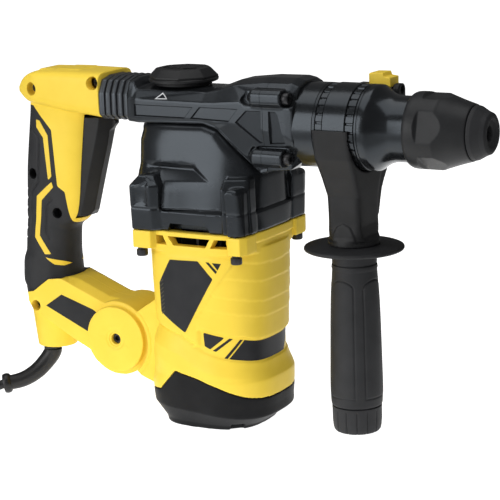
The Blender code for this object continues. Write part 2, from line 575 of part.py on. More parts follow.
CORD_ROUTE = (cord_start, cord_start + 16 * end_dir + Vector((0, 0, -1.0)), Vector((-243.0, -49.5, 4.3)), on_coil(COIL_R[1] + 4.6, -75, 4.4))
power_cord = tube("power_cord", smooth_path(CORD_ROUTE, 16), CORD_R, CORD)
cord_coil = turned("cord_coil", [(COIL_R[0], COIL_H), (COIL_R[1], COIL_H), (COIL_R[1], 0.2), (COIL_R[0], 0.2)], CORD, "Z",
                   (COIL_AT[0], COIL_AT[1], 0), 28)
PLUG_TURN = math.radians(110)
PLUG_Z = COIL_H + 13.4
plug_dir = Vector((math.cos(PLUG_TURN), math.sin(PLUG_TURN), 0))
PLUG_AT = on_coil(42.0, 200, 0.0) - 31 * plug_dir
plug_tail = PLUG_AT + Vector((0, 0, PLUG_Z)) - 1.4 * plug_dir
cord_tail = tube("cord_tail", smooth_path((on_coil(46, 0, 28.7), on_coil(46, -28, 28.7), on_coil(47, -56, 28.7), on_coil(52, -82, 29.5),
                                           on_coil(56.5, -103, 32.2), plug_tail - 7 * plug_dir, plug_tail), 10), CORD_R, CORD)
# two-pin round plug lying on the coil: tapered body, rim and pins
plug_profile = ((0.0, 5.6, 5.6), (4.0, 6.6, 6.4), (22.0, 9.5, 8.5), (30.0, 18.0, 12.6), (42.0, 18.5, 13.0), (43.5, 17.0, 12.0))
plug_rings = []
for along, wide, high in plug_profile:
    centre = PLUG_AT + along * plug_dir + Vector((0, 0, PLUG_Z))
    across = Vector((-plug_dir.y, plug_dir.x, 0))
    plug_rings.append([centre + across * y + Vector((0, 0, z)) for y, z in squircle(wide, high, 2.4, 16)])
mains_plug = loft("mains_plug", plug_rings, CORD)
for n, side in enumerate((-9.5, 9.5)):
    base = PLUG_AT + 42.0 * plug_dir + Vector((-plug_dir.y, plug_dir.x, 0)) * side + Vector((0, 0, PLUG_Z))
    pin = ring_stack(f"plug_pin_{n}", [base, base + 19.5 * plug_dir, base + 20.5 * plug_dir], [2.4, 2.4, 1.7], STEEL, 8)
    join(mains_plug, pin)

# ---------------------------------------------------------------- side handle
YOKE_RINGS = (  # height, centre x, half length, half width, fullness
    (229.0, 108.0, 12.0, 33.6, 6.0), (208.0, 108.0, 12.0, 29.5, 6.0), (196.0, 109.0, 12.4, 23.6, 5.0),
    (185.0, 110.5, 12.3, 18.5, 4.5), (172.0, SIDE_X, 11.8, 15.8, 4.0), (158.0, SIDE_X, 11.6, 15.3, 4.0),
    (149.5, SIDE_X, 14.0, 16.2, 3.0), (146.5, SIDE_X, 18.6, 18.6, 2.0), (143.0, SIDE_X, 19.0, 19.0, 2.0))
BOSS_Y, BOSS_Z = 31.5, 250.5
handle_yoke = loft("handle_yoke", [flat_ring(z, a, b, p, 20, cx=cx) for z, cx, a, b, p in YOKE_RINGS], RUBBER)
far_arm = (circle(0, BARREL_Z, 31.5, -8, 40, 8) + circle(0, BARREL_Z, 37.5, 40, -8, 8))
join(handle_yoke, outline("far_arm", far_arm, 97.0, 119.4, "X"))
far_web = [(12, 172), (18.6, 176), (21.5, 181), (26, 187.5), (32.5, 195.5), (36.5, 204), (37.4, 215), (37.4, 226), (30, 226), (20, 200)]
join(handle_yoke, outline("far_web", far_web, 98.0, 120.6, "X"))
stop_block = squircle(7.3, 6.6, 3.0, 16, BOSS_Y, BOSS_Z - 2.1)
join(handle_yoke, outline("stop_block", stop_block, 108.0, 139.0, "X"))
cut(handle_yoke, rod("saddle", BAND_R[1] + 0.55, (60, 0, BARREL_Z), 100, "X", sides=28))
cut(handle_yoke, rod("depth_rod_hole", 3.2, (80, BOSS_Y, BOSS_Z), 90, "X", sides=12))
cut(handle_yoke, rod("bolt_way", 4.4, (SIDE_X, 0, 130), 62, "Z", sides=14))
set_origin(handle_yoke, (SIDE_X, 0, BARREL_Z))

clamp_band = turned("clamp_band", [(BAND_R[1], BAND_X[1]), (BAND_R[1], BAND_X[0]), (BAND_R[0], BAND_X[0]),
                                   (BAND_R[0], BAND_X[1])], BLACK_STEEL, "X", (0, 0, BARREL_Z), 28)
depth_stop_button = outline("depth_stop_button", [(112.0, 253.4), (134.0, 252.6), (134.0, 260.6), (128.8, 261.0), (128.0, 264.4),
                                                  (113.0, 264.4), (112.0, 263.4)], 22.4, 40.6, "Y", YELLOW)
cut(depth_stop_button, box("button_channel", (100, 23.9, 240), (150, 39.1, 258.6)))
side_grip = turned("side_grip", [
    (0, 42.0), (4.4, 42.0), (4.4, 142.7), (19.5, 142.7), (35.6, 142.0), (36.2, 141.4), (36.2, 139.0), (35.6, 138.4),
    (20.0, 137.8), (16.3, 135.0), (16.1, 127.0), (17.7, 100.0), (18.7, 60.0), (19.1, 36.0), (18.4, 23.4), (0, 23.4)],
    RUBBER, "Z", (SIDE_X, 0, 0), 22)
grip_end_cap = turned("grip_end_cap", [(0, 23.1), (18.2, 23.1), (18.0, 12.0), (17.2, 5.0), (15.8, 3.6), (0, 3.6)], RUBBER, "Z",
                      (SIDE_X, 0, 0), 22)
clamp_bolt = turned("clamp_bolt", [(0, 190.0), (4.0, 190.0), (4.0, 46.0), (0, 46.0)], STEEL, "Z", (SIDE_X, 0, 0), 14)

# ---------------------------------------------------------------- spindle and chuck
AXIS_AT = (0, 0, BARREL_Z)
spindle = turned("spindle", [
    (13.2, 6.0), (13.2, 92.0), (8.0, 92.0), (8.0, 150.0), (5.1, 150.0), (5.1, 208.0), (13.0, 208.0), (13.0, 152.0), (15.0, 152.0),
    (15.0, 110.0), (16.0, 110.0), (16.0, 6.0)][::-1], STEEL, "X", AXIS_AT, ROUND)
cut(spindle, box("ball_slot", (175.5, -3.7, BARREL_Z + 3.0), (184.5, 3.7, BARREL_Z + 20)))
ball = bmesh.new()
bmesh.ops.create_uvsphere(ball, u_segments=10, v_segments=6, radius=3.3 * MM)
bmesh.ops.translate(ball, verts=ball.verts, vec=(0.180, 0, (BARREL_Z + 8.4) * MM))
locking_ball = mesh_object("locking_ball", ball, STEEL)
spindle_bearing = turned("spindle_bearing", [(24.0, 122.0), (24.0, 112.0), (15.3, 112.0), (15.3, 122.0)], STEEL, "X", AXIS_AT, ROUND)
chuck_sleeve = turned("chuck_sleeve", [
    (26.2, 161.0), (27.0, 162.6), (27.0, 182.5), (25.6, 186.0), (22.6, 196.0), (19.9, 205.3), (19.5, 205.7), (13.6, 205.7), (13.6, 195.5),
    (18.5, 191.0), (20.0, 178.5), (23.8, 178.5), (23.8, 161.0)][::-1], DARK, "X", AXIS_AT, 24)
chuck_nose_cap = turned("chuck_nose_cap", [
    (19.4, 206.0), (18.6, 209.0), (15.4, 214.0), (14.4, 217.2), (12.6, 218.5), (10.6, 218.5), (9.4, 216.8), (5.4, 216.0), (5.4, 208.3),
    (13.3, 208.3), (13.3, 206.0)][::-1], RUBBER, "X", AXIS_AT, 20)
turns, per_turn = 3, 9
spring_points = [(184.0 + (191.0 - 184.0) * k / (turns * per_turn),
                  15.2 * math.cos(2 * math.pi * k / per_turn), BARREL_Z + 15.2 * math.sin(2 * math.pi * k / per_turn))
                 for k in range(turns * per_turn + 1)]
sleeve_spring = tube("sleeve_spring", spring_points, 0.7, STEEL, 1)

# ---------------------------------------------------------------- hammer mechanism
striker = turned("striker", [(0, 85.0), (8.0, 85.0), (9.0, 83.0), (9.0, 78.0), (12.9, 76.0), (12.9, 58.0), (11.9, 57.0), (0, 57.0)],
                 STEEL, "X", AXIS_AT, 18)
beat_piece = turned("beat_piece", [(0, 145.0), (5.5, 145.0), (7.7, 141.0), (7.7, 97.0), (6.2, 95.0), (0, 95.0)], STEEL, "X",
                    AXIS_AT, 16)
PIN_X = -GEAR_OFFSET + CRANK_R          # crank pin at rest, front dead centre
WRIST_X = PIN_X + ROD_LENGTH
piston = turned("piston", [(0, WRIST_X + 12), (12.9, WRIST_X + 12), (12.9, WRIST_X - 8), (0, WRIST_X - 8)], BRASS, "X", AXIS_AT, 20)
cut(piston, box("rod_slot", (WRIST_X - 20, -9.5, BARREL_Z - 4.6), (WRIST_X + 7.5, 9.5, BARREL_Z + 4.6)))
connecting_rod = rod("connecting_rod", 8.0, (PIN_X, 0, BARREL_Z - 4.2), 8.4, "Z", STEEL, sides=20)
join(connecting_rod, box("rod_shank", (PIN_X, -4.2, BARREL_Z - 4.0), (WRIST_X, 4.2, BARREL_Z + 4.0)))
join(connecting_rod, rod("rod_small_end", 6.6, (WRIST_X, 0, BARREL_Z - 4.2), 8.4, "Z", sides=16))
set_origin(connecting_rod, (WRIST_X, 0, BARREL_Z))

# ---------------------------------------------------------------- gear train
crank_gear = outline("crank_gear", gear_outline(WHEEL_TEETH, GEAR_MODULE, -GEAR_OFFSET), GEAR_Z[0], GEAR_Z[1], "Z", STEEL)
join(crank_gear, rod("crank_shaft", 6.0, (-GEAR_OFFSET, 0, 159.0), 50.0, "Z", sides=20))
join(crank_gear, rod("crank_disc", 15.5, (-GEAR_OFFSET, 0, 206.0), 7.0, "Z", sides=20))
join(crank_gear, rod("crank_pin", 4.0, (PIN_X, 0, 211.0), BARREL_Z - 4.2 - 0.6 - 211.0, "Z", sides=14))
set_origin(crank_gear, (-GEAR_OFFSET, 0, 170.0))

APEX = (GEAR_OFFSET, 0, BARREL_Z)


def bevel_rings(teeth, module, apex_distance, scales):
    """Tooth outlines shrinking towards the apex: (scale, points, distance from the apex)."""
    return [(s, gear_outline(teeth, module, addendum=0.6, dedendum=1.1, scale=s), apex_distance * s) for s in scales]


bevel_pinion = outline("bevel_pinion", gear_outline(WHEEL_TEETH, GEAR_MODULE, GEAR_OFFSET), GEAR_Z[0], GEAR_Z[1], "Z", STEEL)
crown_r = CROWN_TEETH * BEVEL_MODULE / 2
pinion_r = BEVEL_TEETH * BEVEL_MODULE / 2
cone = [[(APEX[0] + u, v, APEX[2] - d) for u, v in pts]
        for s, pts, d in bevel_rings(BEVEL_TEETH, BEVEL_MODULE, crown_r, (1.0, 0.76))]
join(bevel_pinion, loft("bevel_teeth", cone))
join(bevel_pinion, rod("bevel_shaft", 5.0, (APEX[0], 0, 159.0), BARREL_Z - crown_r * 0.85 - 159.0, "Z", sides=20))
set_origin(bevel_pinion, (GEAR_OFFSET, 0, 170.0))



def crown_ring(scale, radius):
    """Teeth that face the apex along X, with a gap straight below the spindle axis."""
    pitch_x = APEX[0] + pinion_r * scale
    step = 2 * math.pi / CROWN_TEETH
    ring = []
    for i in range(CROWN_TEETH):
        for deep, part in ((1.1, -0.25), (-0.6, -0.10), (-0.6, 0.10), (1.1, 0.25)):
            angle = -math.pi / 2 + (i + 0.5 + part) * step
            ring.append((pitch_x + deep * BEVEL_MODULE * scale, radius * math.cos(angle), BARREL_Z + radius * math.sin(angle)))
    return ring


outer_teeth, inner_teeth = crown_ring(1.0, crown_r + 0.5), crown_ring(0.76, crown_r * 0.76)
hub_scale = 16.4 / (crown_r + 0.5)
back = [(36.0, y, z) for _, y, z in outer_teeth]
back_bore = [(36.0, y * hub_scale, BARREL_Z + (z - BARREL_Z) * hub_scale) for _, y, z in outer_teeth]
front_bore = [(29.4, y, z) for _, y, z in back_bore]
spindle_bevel_gear = loft("spindle_bevel_gear", [inner_teeth, outer_teeth, back, back_bore, front_bore], STEEL, closed_loop=True)

# ---------------------------------------------------------------- motor
armature_shaft = outline("armature_shaft", gear_outline(PINION_TEETH, GEAR_MODULE), 162.0, 178.0, "Z", STEEL)
join(armature_shaft, rod("shaft_core", 3.6, (0, 0, 16.5), 147.0, "Z", sides=16))
armature_core = turned("armature_core", [(17.0, 119.0), (19.0, 112.0), (22.0, 112.0), (22.0, 60.0), (19.0, 60.0), (17.0, 54.0),
                                         (3.9, 54.0), (3.9, 119.0)], CORE, steps=20)
commutator = turned("commutator", [(14.0, 52.0), (14.0, 34.0), (3.9, 34.0), (3.9, 52.0)], COPPER, steps=18)
stator = turned("stator", [(35.9, 114.0), (35.9, 58.0), (23.0, 58.0), (23.0, 114.0)], CORE, steps=24)
fan_blades = [(r * math.cos(a), r * math.sin(a)) for k in range(12) for r, a in (
    (13.0, (k - 0.14) * math.pi / 6), (33.0, (k - 0.06) * math.pi / 6), (33.0, (k + 0.06) * math.pi / 6), (13.0, (k + 0.14) * math.pi / 6))]
cooling_fan = outline("cooling_fan", fan_blades, 126.0, 144.0, "Z", DARK)
join(cooling_fan, rod("fan_plate", 33.5, (0, 0, 124.0), 3.0, "Z", sides=28))
cut(cooling_fan, rod("fan_bore", 3.9, (0, 0, 110), 60, "Z", sides=16))
upper_motor_bearing = turned("upper_motor_bearing", [(11.0, 157.8), (11.0, 150.9), (3.9, 150.9), (3.9, 157.8)], STEEL, steps=16)
lower_motor_bearing = turned("lower_motor_bearing", [(11.0, 23.8), (11.0, 16.0), (3.9, 16.0), (3.9, 23.8)], STEEL, steps=16)
brush_right = box("brush_right", (-4.0, -33.0, 38.5), (4.0, -14.7, 47.5), CARBON)
brush_left = box("brush_left", (-4.0, 14.7, 38.5), (4.0, 33.0, 47.5), CARBON)
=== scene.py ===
"""Finish of the rotary demolition hammer: fine surfaces, materials, cord, camera and light."""
import math

import bmesh
import bpy
import numpy as np
from mathutils import Matrix, Vector
from mathutils.bvhtree import BVHTree

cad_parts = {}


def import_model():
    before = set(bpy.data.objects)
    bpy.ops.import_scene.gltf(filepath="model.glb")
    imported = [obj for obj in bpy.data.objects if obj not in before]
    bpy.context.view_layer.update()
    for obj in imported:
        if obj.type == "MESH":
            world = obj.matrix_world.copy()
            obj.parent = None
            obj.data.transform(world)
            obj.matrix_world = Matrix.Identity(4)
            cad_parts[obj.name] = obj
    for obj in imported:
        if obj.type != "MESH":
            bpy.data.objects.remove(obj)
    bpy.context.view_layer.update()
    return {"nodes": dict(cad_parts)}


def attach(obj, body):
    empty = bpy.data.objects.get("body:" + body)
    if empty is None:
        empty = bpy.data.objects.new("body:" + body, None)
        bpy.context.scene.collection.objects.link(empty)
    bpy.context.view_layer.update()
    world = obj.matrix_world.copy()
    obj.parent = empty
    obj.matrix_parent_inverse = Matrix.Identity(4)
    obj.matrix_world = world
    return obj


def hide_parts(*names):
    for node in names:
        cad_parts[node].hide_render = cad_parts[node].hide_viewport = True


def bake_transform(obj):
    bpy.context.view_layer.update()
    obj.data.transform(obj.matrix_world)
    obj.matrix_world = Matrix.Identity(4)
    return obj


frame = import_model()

MM = 0.001
AX = 227.7                      # height of the barrel axis; all shapes below are in millimetres
PIVOT = (-82.0, 57.0)
SIDE_X = 111.3
KNOB_X = -27.0
scene = bpy.context.scene
WORK = bpy.data.collections.new("finish")
scene.collection.children.link(WORK)

# ---------------------------------------------------------------- camera, floor and light
C = (0.712114, -1.190247, 0.435310)
R = (0.868997, 0.493866, -0.030666)
U = (-0.080964, 0.203055, 0.975814)
F = (-0.488148, 0.845497, -0.216440)
camera_data = bpy.data.cameras.new("camera")
camera_data.lens = 136.8
camera_data.sensor_width = 36.0
camera_data.clip_end = 50.0
camera = bpy.data.objects.new("camera", camera_data)
camera.matrix_world = Matrix([(R[i], U[i], -F[i], C[i]) for i in range(3)] + [(0, 0, 0, 1)])
scene.collection.objects.link(camera)
scene.camera = camera
scene.view_settings.view_transform = "Standard"

# pale floor: bright where it is the backdrop of the picture, plain elsewhere
floor_x = np.concatenate([np.linspace(-9, -2.6, 17)[:-1], np.linspace(-2.6, 2.0, 139), np.linspace(2.0, 9, 17)[1:]])
floor_y = np.concatenate([np.linspace(-9, -1.6, 17)[:-1], np.linspace(-1.6, 4.4, 181), np.linspace(4.4, 9, 12)[1:]])
gx, gy = np.meshgrid(floor_x, floor_y, indexing="ij")
wide, deep = gx.shape
floor_faces = [(i * deep + j, (i + 1) * deep + j, (i + 1) * deep + j + 1, i * deep + j + 1) for i in range(wide - 1) for j in range(deep - 1)]
floor_mesh = bpy.data.meshes.new("floor")
floor_mesh.from_pydata([(float(a), float(b), 0.0) for a, b in zip(gx.ravel(), gy.ravel())], [], floor_faces)
floor = bpy.data.objects.new("floor", floor_mesh)
floor.location = (0, 0, -0.0003)
WORK.objects.link(floor)
heading = np.array(F[:2]) / math.hypot(F[0], F[1])
away = (gx - C[0]) * heading[0] + (gy - C[1]) * heading[1]
beside = abs((gx - C[0]) * heading[1] - (gy - C[1]) * heading[0])


def fade(x):
    x = np.clip(x, 0.0, 1.0)
    return x * x * (3 - 2 * x)


glow = fade((0.1316 * away + 0.24 - beside) / 0.22) * fade((away - 0.98) / 0.22) * fade((7.0 - away) / 1.6)
glow_layer = floor_mesh.attributes.new("glow", "FLOAT", "POINT")
glow_layer.data.foreach_set("value", glow.ravel().astype(np.float32))
floor_mat = bpy.data.materials.new("pale_floor")
floor_mat.use_nodes = True
floor_shader = floor_mat.node_tree.nodes["Principled BSDF"]
floor_shader.inputs["Base Color"].default_value = (0.66, 0.66, 0.66, 1)
floor_shader.inputs["Roughness"].default_value = 0.9
floor_shader.inputs["Specular IOR Level"].default_value = 0.0
floor_shader.inputs["Emission Color"].default_value = (1, 1, 1, 1)
glow_node = floor_mat.node_tree.nodes.new("ShaderNodeAttribute")
glow_node.attribute_name = "glow"
glow_range = floor_mat.node_tree.nodes.new("ShaderNodeMapRange")
glow_range.inputs["To Min"].default_value = 0.06
glow_range.inputs["To Max"].default_value = 1.05
floor_mat.node_tree.links.new(glow_node.outputs["Fac"], glow_range.inputs["Value"])
floor_mat.node_tree.links.new(glow_range.outputs["Result"], floor_shader.inputs["Emission Strength"])
floor_mesh.materials.append(floor_mat)

world = bpy.data.worlds.new("studio")
scene.world = world
world.use_nodes = True
world.node_tree.nodes["Background"].inputs["Color"].default_value = (1.0, 1.0, 1.0, 1)
world.node_tree.nodes["Background"].inputs["Strength"].default_value = 0.10


def lamp(name, toward, distance, size, power, aim=(0.0, 0.0, 0.13), size_y=None, sheen=True, body=True):
    data = bpy.data.lights.new(name, "AREA")
    data.shape = "RECTANGLE"
    data.size = size
    data.size_y = size_y or size
    data.energy = power
    ob = bpy.data.objects.new(name, data)
    way = Vector(toward).normalized()
    ob.location = Vector(aim) + way * distance
    ob.rotation_euler = way.to_track_quat("Z", "Y").to_euler()
    ob.visible_glossy = sheen
    ob.visible_diffuse = body
    scene.collection.objects.link(ob)


lamp("key", (-0.48, -0.85, 0.22), 1.5, 0.85, 11.0, size_y=1.3)
lamp("key_sheen", (-0.48, -0.85, 0.22), 1.5, 0.85, 13.0, size_y=1.3, body=False)
lamp("fill", (0.26, -0.93, 0.25), 1.5, 1.0, 6.6, sheen=False)
lamp("top", (-0.10, -0.10, 1.0), 1.4, 1.3, 8.0)
lamp("top_fill", (0.30, -0.20, 1.0), 1.4, 1.2, 5.0, sheen=False)


# ---------------------------------------------------------------- materials
def material(name, dark, light, rough, grain, bump, metallic=0.0, patch=60.0, rough_range=0.06, spec=0.5, tint=None, rings=None):
    """A moulded or machined surface: slow colour drift, uneven gloss and a fine surface grain."""
    mat = bpy.data.materials.new(name)
    mat.use_nodes = True
    tree = mat.node_tree
    shader = tree.nodes["Principled BSDF"]
    shader.inputs["Metallic"].default_value = metallic
    shader.inputs["Specular IOR Level"].default_value = spec
    if tint:
        shader.inputs["Specular Tint"].default_value = (*tint, 1)
    where = tree.nodes.new("ShaderNodeTexCoord")
    drift = tree.nodes.new("ShaderNodeTexNoise")
    drift.inputs["Scale"].default_value = patch
    drift.inputs["Detail"].default_value = 3.0
    tree.links.new(where.outputs["Object"], drift.inputs["Vector"])
    ramp = tree.nodes.new("ShaderNodeValToRGB")
    ramp.color_ramp.elements[0].position = 0.3
    ramp.color_ramp.elements[0].color = (*dark, 1)
    ramp.color_ramp.elements[1].position = 0.7
    ramp.color_ramp.elements[1].color = (*light, 1)
    tree.links.new(drift.outputs["Fac"], ramp.inputs["Fac"])
    tree.links.new(ramp.outputs["Color"], shader.inputs["Base Color"])
    fine = tree.nodes.new("ShaderNodeTexNoise")
    fine.inputs["Scale"].default_value = grain
    fine.inputs["Detail"].default_value = 4.0
    tree.links.new(where.outputs["Object"], fine.inputs["Vector"])
    gloss = tree.nodes.new("ShaderNodeMapRange")
    gloss.inputs["From Min"].default_value = 0.3
    gloss.inputs["From Max"].default_value = 0.7
    gloss.inputs["To Min"].default_value = rough - rough_range
    gloss.inputs["To Max"].default_value = rough + rough_range
    tree.links.new(fine.outputs["Fac"], gloss.inputs["Value"])
    tree.links.new(gloss.outputs["Result"], shader.inputs["Roughness"])
    relief = tree.nodes.new("ShaderNodeBump")
    relief.inputs["Strength"].default_value = bump
    relief.inputs["Distance"].default_value = 0.0003
    source = fine.outputs["Fac"]
    if rings:
        turn = tree.nodes.new("ShaderNodeTexWave")
        turn.wave_type = "BANDS"
        turn.bands_direction = rings[0]
        turn.inputs["Scale"].default_value = rings[1]
        turn.inputs["Distortion"].default_value = 1.5
        tree.links.new(where.outputs["Object"], turn.inputs["Vector"])
        source = turn.outputs["Fac"]
    tree.links.new(source, relief.inputs["Height"])
    tree.links.new(relief.outputs["Normal"], shader.inputs["Normal"])
    return mat


COOL = (0.80, 0.90, 1.0)
YELLOW = material("yellow_plastic", (0.85, 0.605, 0.060), (0.89, 0.640, 0.070), 0.42, 1500, 0.10, spec=0.14)
INLAY = material("yellow_inlay", (0.80, 0.56, 0.045), (0.86, 0.60, 0.055), 0.46, 1500, 0.12, spec=0.25)
DARK = material("dark_plastic", (0.0105, 0.0107, 0.0114), (0.0150, 0.0152, 0.0161), 0.44, 1600, 0.22, spec=0.24)
FOOT = material("foot_plastic", (0.0095, 0.0097, 0.0104), (0.0135, 0.0137, 0.0146), 0.46, 1600, 0.22, spec=0.08)
SLEEVE = material("sleeve_plastic", (0.0125, 0.0130, 0.0140), (0.0175, 0.0181, 0.0194), 0.40, 1700, 0.26, spec=0.24)
PAINT = material("black_paint", (0.0085, 0.0092, 0.0102), (0.0125, 0.0134, 0.0150), 0.235, 1300, 0.03, rough_range=0.03, spec=0.5, tint=COOL)
GLOSS = material("black_enamel", (0.0065, 0.0070, 0.0076), (0.0095, 0.0101, 0.0110), 0.20, 900, 0.04, spec=0.5, tint=COOL)
RUBBER = material("black_rubber", (0.0185, 0.0189, 0.0203), (0.0255, 0.0260, 0.0278), 0.55, 1900, 0.30, spec=0.20)
GAITER = material("gaiter_rubber", (0.018, 0.0188, 0.0205), (0.025, 0.0258, 0.0278), 0.36, 1500, 0.10, spec=0.8, tint=COOL)
SHEATH = material("cord_rubber", (0.0080, 0.0080, 0.0086), (0.0130, 0.0130, 0.0138), 0.36, 1300, 0.20, spec=0.35)
STEEL = material("steel", (0.50, 0.51, 0.52), (0.58, 0.59, 0.60), 0.30, 900, 0.10, 1.0)
BLACK_STEEL = material("black_steel", (0.020, 0.020, 0.022), (0.036, 0.036, 0.038), 0.36, 1200, 0.12, 0.6)
CORE = material("electrical_steel", (0.28, 0.28, 0.30), (0.36, 0.36, 0.38), 0.45, 900, 0.15, 1.0, rings=("Z", 320))
COPPER = material("copper", (0.66, 0.33, 0.17), (0.76, 0.42, 0.24), 0.35, 900, 0.12, 1.0)
CARBON = material("carbon", (0.035, 0.035, 0.035), (0.060, 0.060, 0.060), 0.60, 1800, 0.3)
PISTON = material("piston_metal", (0.64, 0.50, 0.22), (0.74, 0.60, 0.30), 0.33, 900, 0.1, 1.0)
LABEL = material("dark_label", (0.018, 0.0185, 0.0205), (0.024, 0.0247, 0.0270), 0.42, 2200, 0.06, spec=0.14)
HAIR = material("label_line", (0.060, 0.056, 0.040), (0.080, 0.074, 0.050), 0.45, 2200, 0.05, spec=0.14)
WHITE = material("white_mark", (0.60, 0.61, 0.62), (0.68, 0.69, 0.70), 0.45, 1500, 0.08)


# ---------------------------------------------------------------- number helpers
def ease(x):
    x = np.clip(x, 0.0, 1.0)
    return x * x * (3 - 2 * x)


def read(rows, at):
    return np.interp(at, [r[0] for r in rows], [r[1] for r in rows])


def flow(rows, at):
    """Values on smooth monotone curves through a table's rows, read at given first-column values."""
    rows = np.array(sorted(rows), float)
    x, y = rows[:, 0], rows[:, 1:]
    h = np.diff(x)
    s = np.diff(y, axis=0) / h[:, None]
    m = np.zeros_like(y)
    m[0], m[-1] = s[0], s[-1]
    for k in range(1, len(x) - 1):
        same = s[k - 1] * s[k] > 0
        w1, w2 = 2 * h[k] + h[k - 1], h[k] + 2 * h[k - 1]
        m[k] = np.where(same, (w1 + w2) / (w1 / np.where(same, s[k - 1], 1) + w2 / np.where(same, s[k], 1)), 0)
    at = np.atleast_1d(np.asarray(at, float))
    k = np.clip(np.searchsorted(x, at) - 1, 0, len(x) - 2)
    w = (x[k + 1] - x[k])[:, None]
    t = ((at - x[k]) / (x[k + 1] - x[k]))[:, None]
    return (y[k] * (2 * t**3 - 3 * t**2 + 1) + w * m[k] * (t**3 - 2 * t**2 + t)
            + y[k + 1] * (3 * t**2 - 2 * t**3) + w * m[k + 1] * (t**3 - t**2))


def squircle(a, b, power, count):
    t = (np.arange(count) + 0.5) * 2 * np.pi / count
    c, s = np.cos(t), np.sin(t)
    return np.stack([a * np.sign(c) * abs(c) ** (2 / power), b * np.sign(s) * abs(s) ** (2 / power)], 1)


def arc(cx, cy, radius, a0, a1, count):
    t = np.radians(np.linspace(a0, a1, count + 1))
    return [(cx + radius * math.cos(k), cy + radius * math.sin(k)) for k in t]


def rounded(points, radius, seg=4, closed=True):
    """A polygon or polyline with its corners rounded off."""
    pts = np.array(points, float)
    n = len(pts)
    out = []
    for i in range(n):
        if not closed and i in (0, n - 1):
            out.append(pts[i])
            continue
        a, b, c = pts[i - 1], pts[i], pts[(i + 1) % n]
        u, v = a - b, c - b
        lu, lv = np.linalg.norm(u), np.linalg.norm(v)
        u, v = u / lu, v / lv
        half = math.acos(float(np.clip(u @ v, -1, 1))) / 2
        if half > 1.54:
            out.append(b)
            continue
        back = min(radius / math.tan(half), 0.46 * lu, 0.46 * lv)
        p0, p1 = b + u * back, b + v * back
        for k in range(seg + 1):
            t = k / seg
            out.append((1 - t) ** 2 * p0 + 2 * t * (1 - t) * b + t * t * p1)
    return np.array(out)


def area(poly):
    p = np.asarray(poly, float)
    q = np.roll(p, -1, 0)
    return 0.5 * float((p[:, 0] * q[:, 1] - p[:, 1] * q[:, 0]).sum())


def grown(poly, by):
    """A polygon moved outwards by a distance on every side."""
    p = np.asarray(poly, float)
    if area(p) < 0:
        p = p[::-1]
    before, after = p - np.roll(p, 1, 0), np.roll(p, -1, 0) - p
    n1 = np.stack([before[:, 1], -before[:, 0]], 1) / np.linalg.norm(before, axis=1)[:, None]
    n2 = np.stack([after[:, 1], -after[:, 0]], 1) / np.linalg.norm(after, axis=1)[:, None]
    mid = n1 + n2
    return p + by * mid * (2 / (mid * mid).sum(1))[:, None]


def smooth_path(points, spacing):
    pts = [Vector(p) for p in points]
    pts = [2 * pts[0] - pts[1]] + pts + [2 * pts[-1] - pts[-2]]
    fine = []
    for a, b, c, d in zip(pts, pts[1:], pts[2:], pts[3:]):
        for k in range(24):
            t = k / 24
            fine.append(0.5 * (2 * b + (c - a) * t + (2 * a - 5 * b + 4 * c - d) * t * t
                               + (3 * b - a - 3 * c + d) * t ** 3))
    fine.append(pts[-2])
    lengths = [0.0]
    for a, b in zip(fine, fine[1:]):
        lengths.append(lengths[-1] + (b - a).length)
    count = max(2, round(lengths[-1] / spacing))
    out, k = [], 0
    for i in range(count + 1):
        want = lengths[-1] * i / count
        while k < len(fine) - 2 and lengths[k + 1] < want:
            k += 1
        share = (want - lengths[k]) / max(1e-9, lengths[k + 1] - lengths[k])
        out.append(fine[k].lerp(fine[k + 1], min(1.0, share)))
    return out


# ---------------------------------------------------------------- mesh helpers
def obj(name, verts, faces):
    mesh = bpy.data.meshes.new(name)
    mesh.from_pydata([tuple(float(c) for c in v) for v in verts], [], faces)
    bm = bmesh.new()
    bm.from_mesh(mesh)
    bmesh.ops.recalc_face_normals(bm, faces=bm.faces)
    bm.to_mesh(mesh)
    bm.free()
    ob = bpy.data.objects.new(name, mesh)
    WORK.objects.link(ob)
    return ob


def skin(name, rings, loop=False):
    rings = np.asarray(rings, float)
    m, n = rings.shape[:2]
    faces = []
    for k in range(m if loop else m - 1):
        a, b = k * n, ((k + 1) % m) * n
        faces += [(a + i, a + (i + 1) % n, b + (i + 1) % n, b + i) for i in range(n)]
    if not loop:
        faces += [tuple(range(n))[::-1], tuple(range((m - 1) * n, m * n))]
    return obj(name, rings.reshape(-1, 3), faces)


def prism(name, points, lo, hi, axis="Y"):
    """An outline with thickness: (x, z) points for axis Y, (x, y) for Z, (y, z) for X."""
    def ring(w):
        return [{"Y": (u, w, v), "Z": (u, v, w), "X": (w, u, v)}[axis] for u, v in points]
    return skin(name, [ring(lo), ring(hi)])


def block(name, lo, hi):
    return prism(name, [(lo[0], lo[1]), (hi[0], lo[1]), (hi[0], hi[1]), (lo[0], hi[1])], lo[2], hi[2], "Z")


def turned(name, profile, axis="Z", at=(0, 0, 0), steps=96, tube=False, shape=None):
    """A turned piece from (radius, height) pairs; shape(radius, height, angles) may vary the radius."""
    t = np.arange(steps) * 2 * np.pi / steps
    rings = []
    for r, h in profile:
        rr = np.full(steps, max(r, 1e-3)) if shape is None else shape(max(r, 1e-3), h, t)
        c, s, hh = rr * np.cos(t), rr * np.sin(t), np.full(steps, float(h))
        ring = {"Z": (c, s, hh), "X": (hh, c, s), "Y": (c, hh, s)}[axis]
        rings.append(np.stack(ring, 1) + np.array(at, float))
    return skin(name, rings, loop=tube)


def bake(ob):
    graph = bpy.context.evaluated_depsgraph_get()
    mesh = bpy.data.meshes.new_from_object(ob.evaluated_get(graph), depsgraph=graph)
    old = ob.data
    ob.modifiers.clear()
    ob.data = mesh
    bpy.data.meshes.remove(old)
    return ob


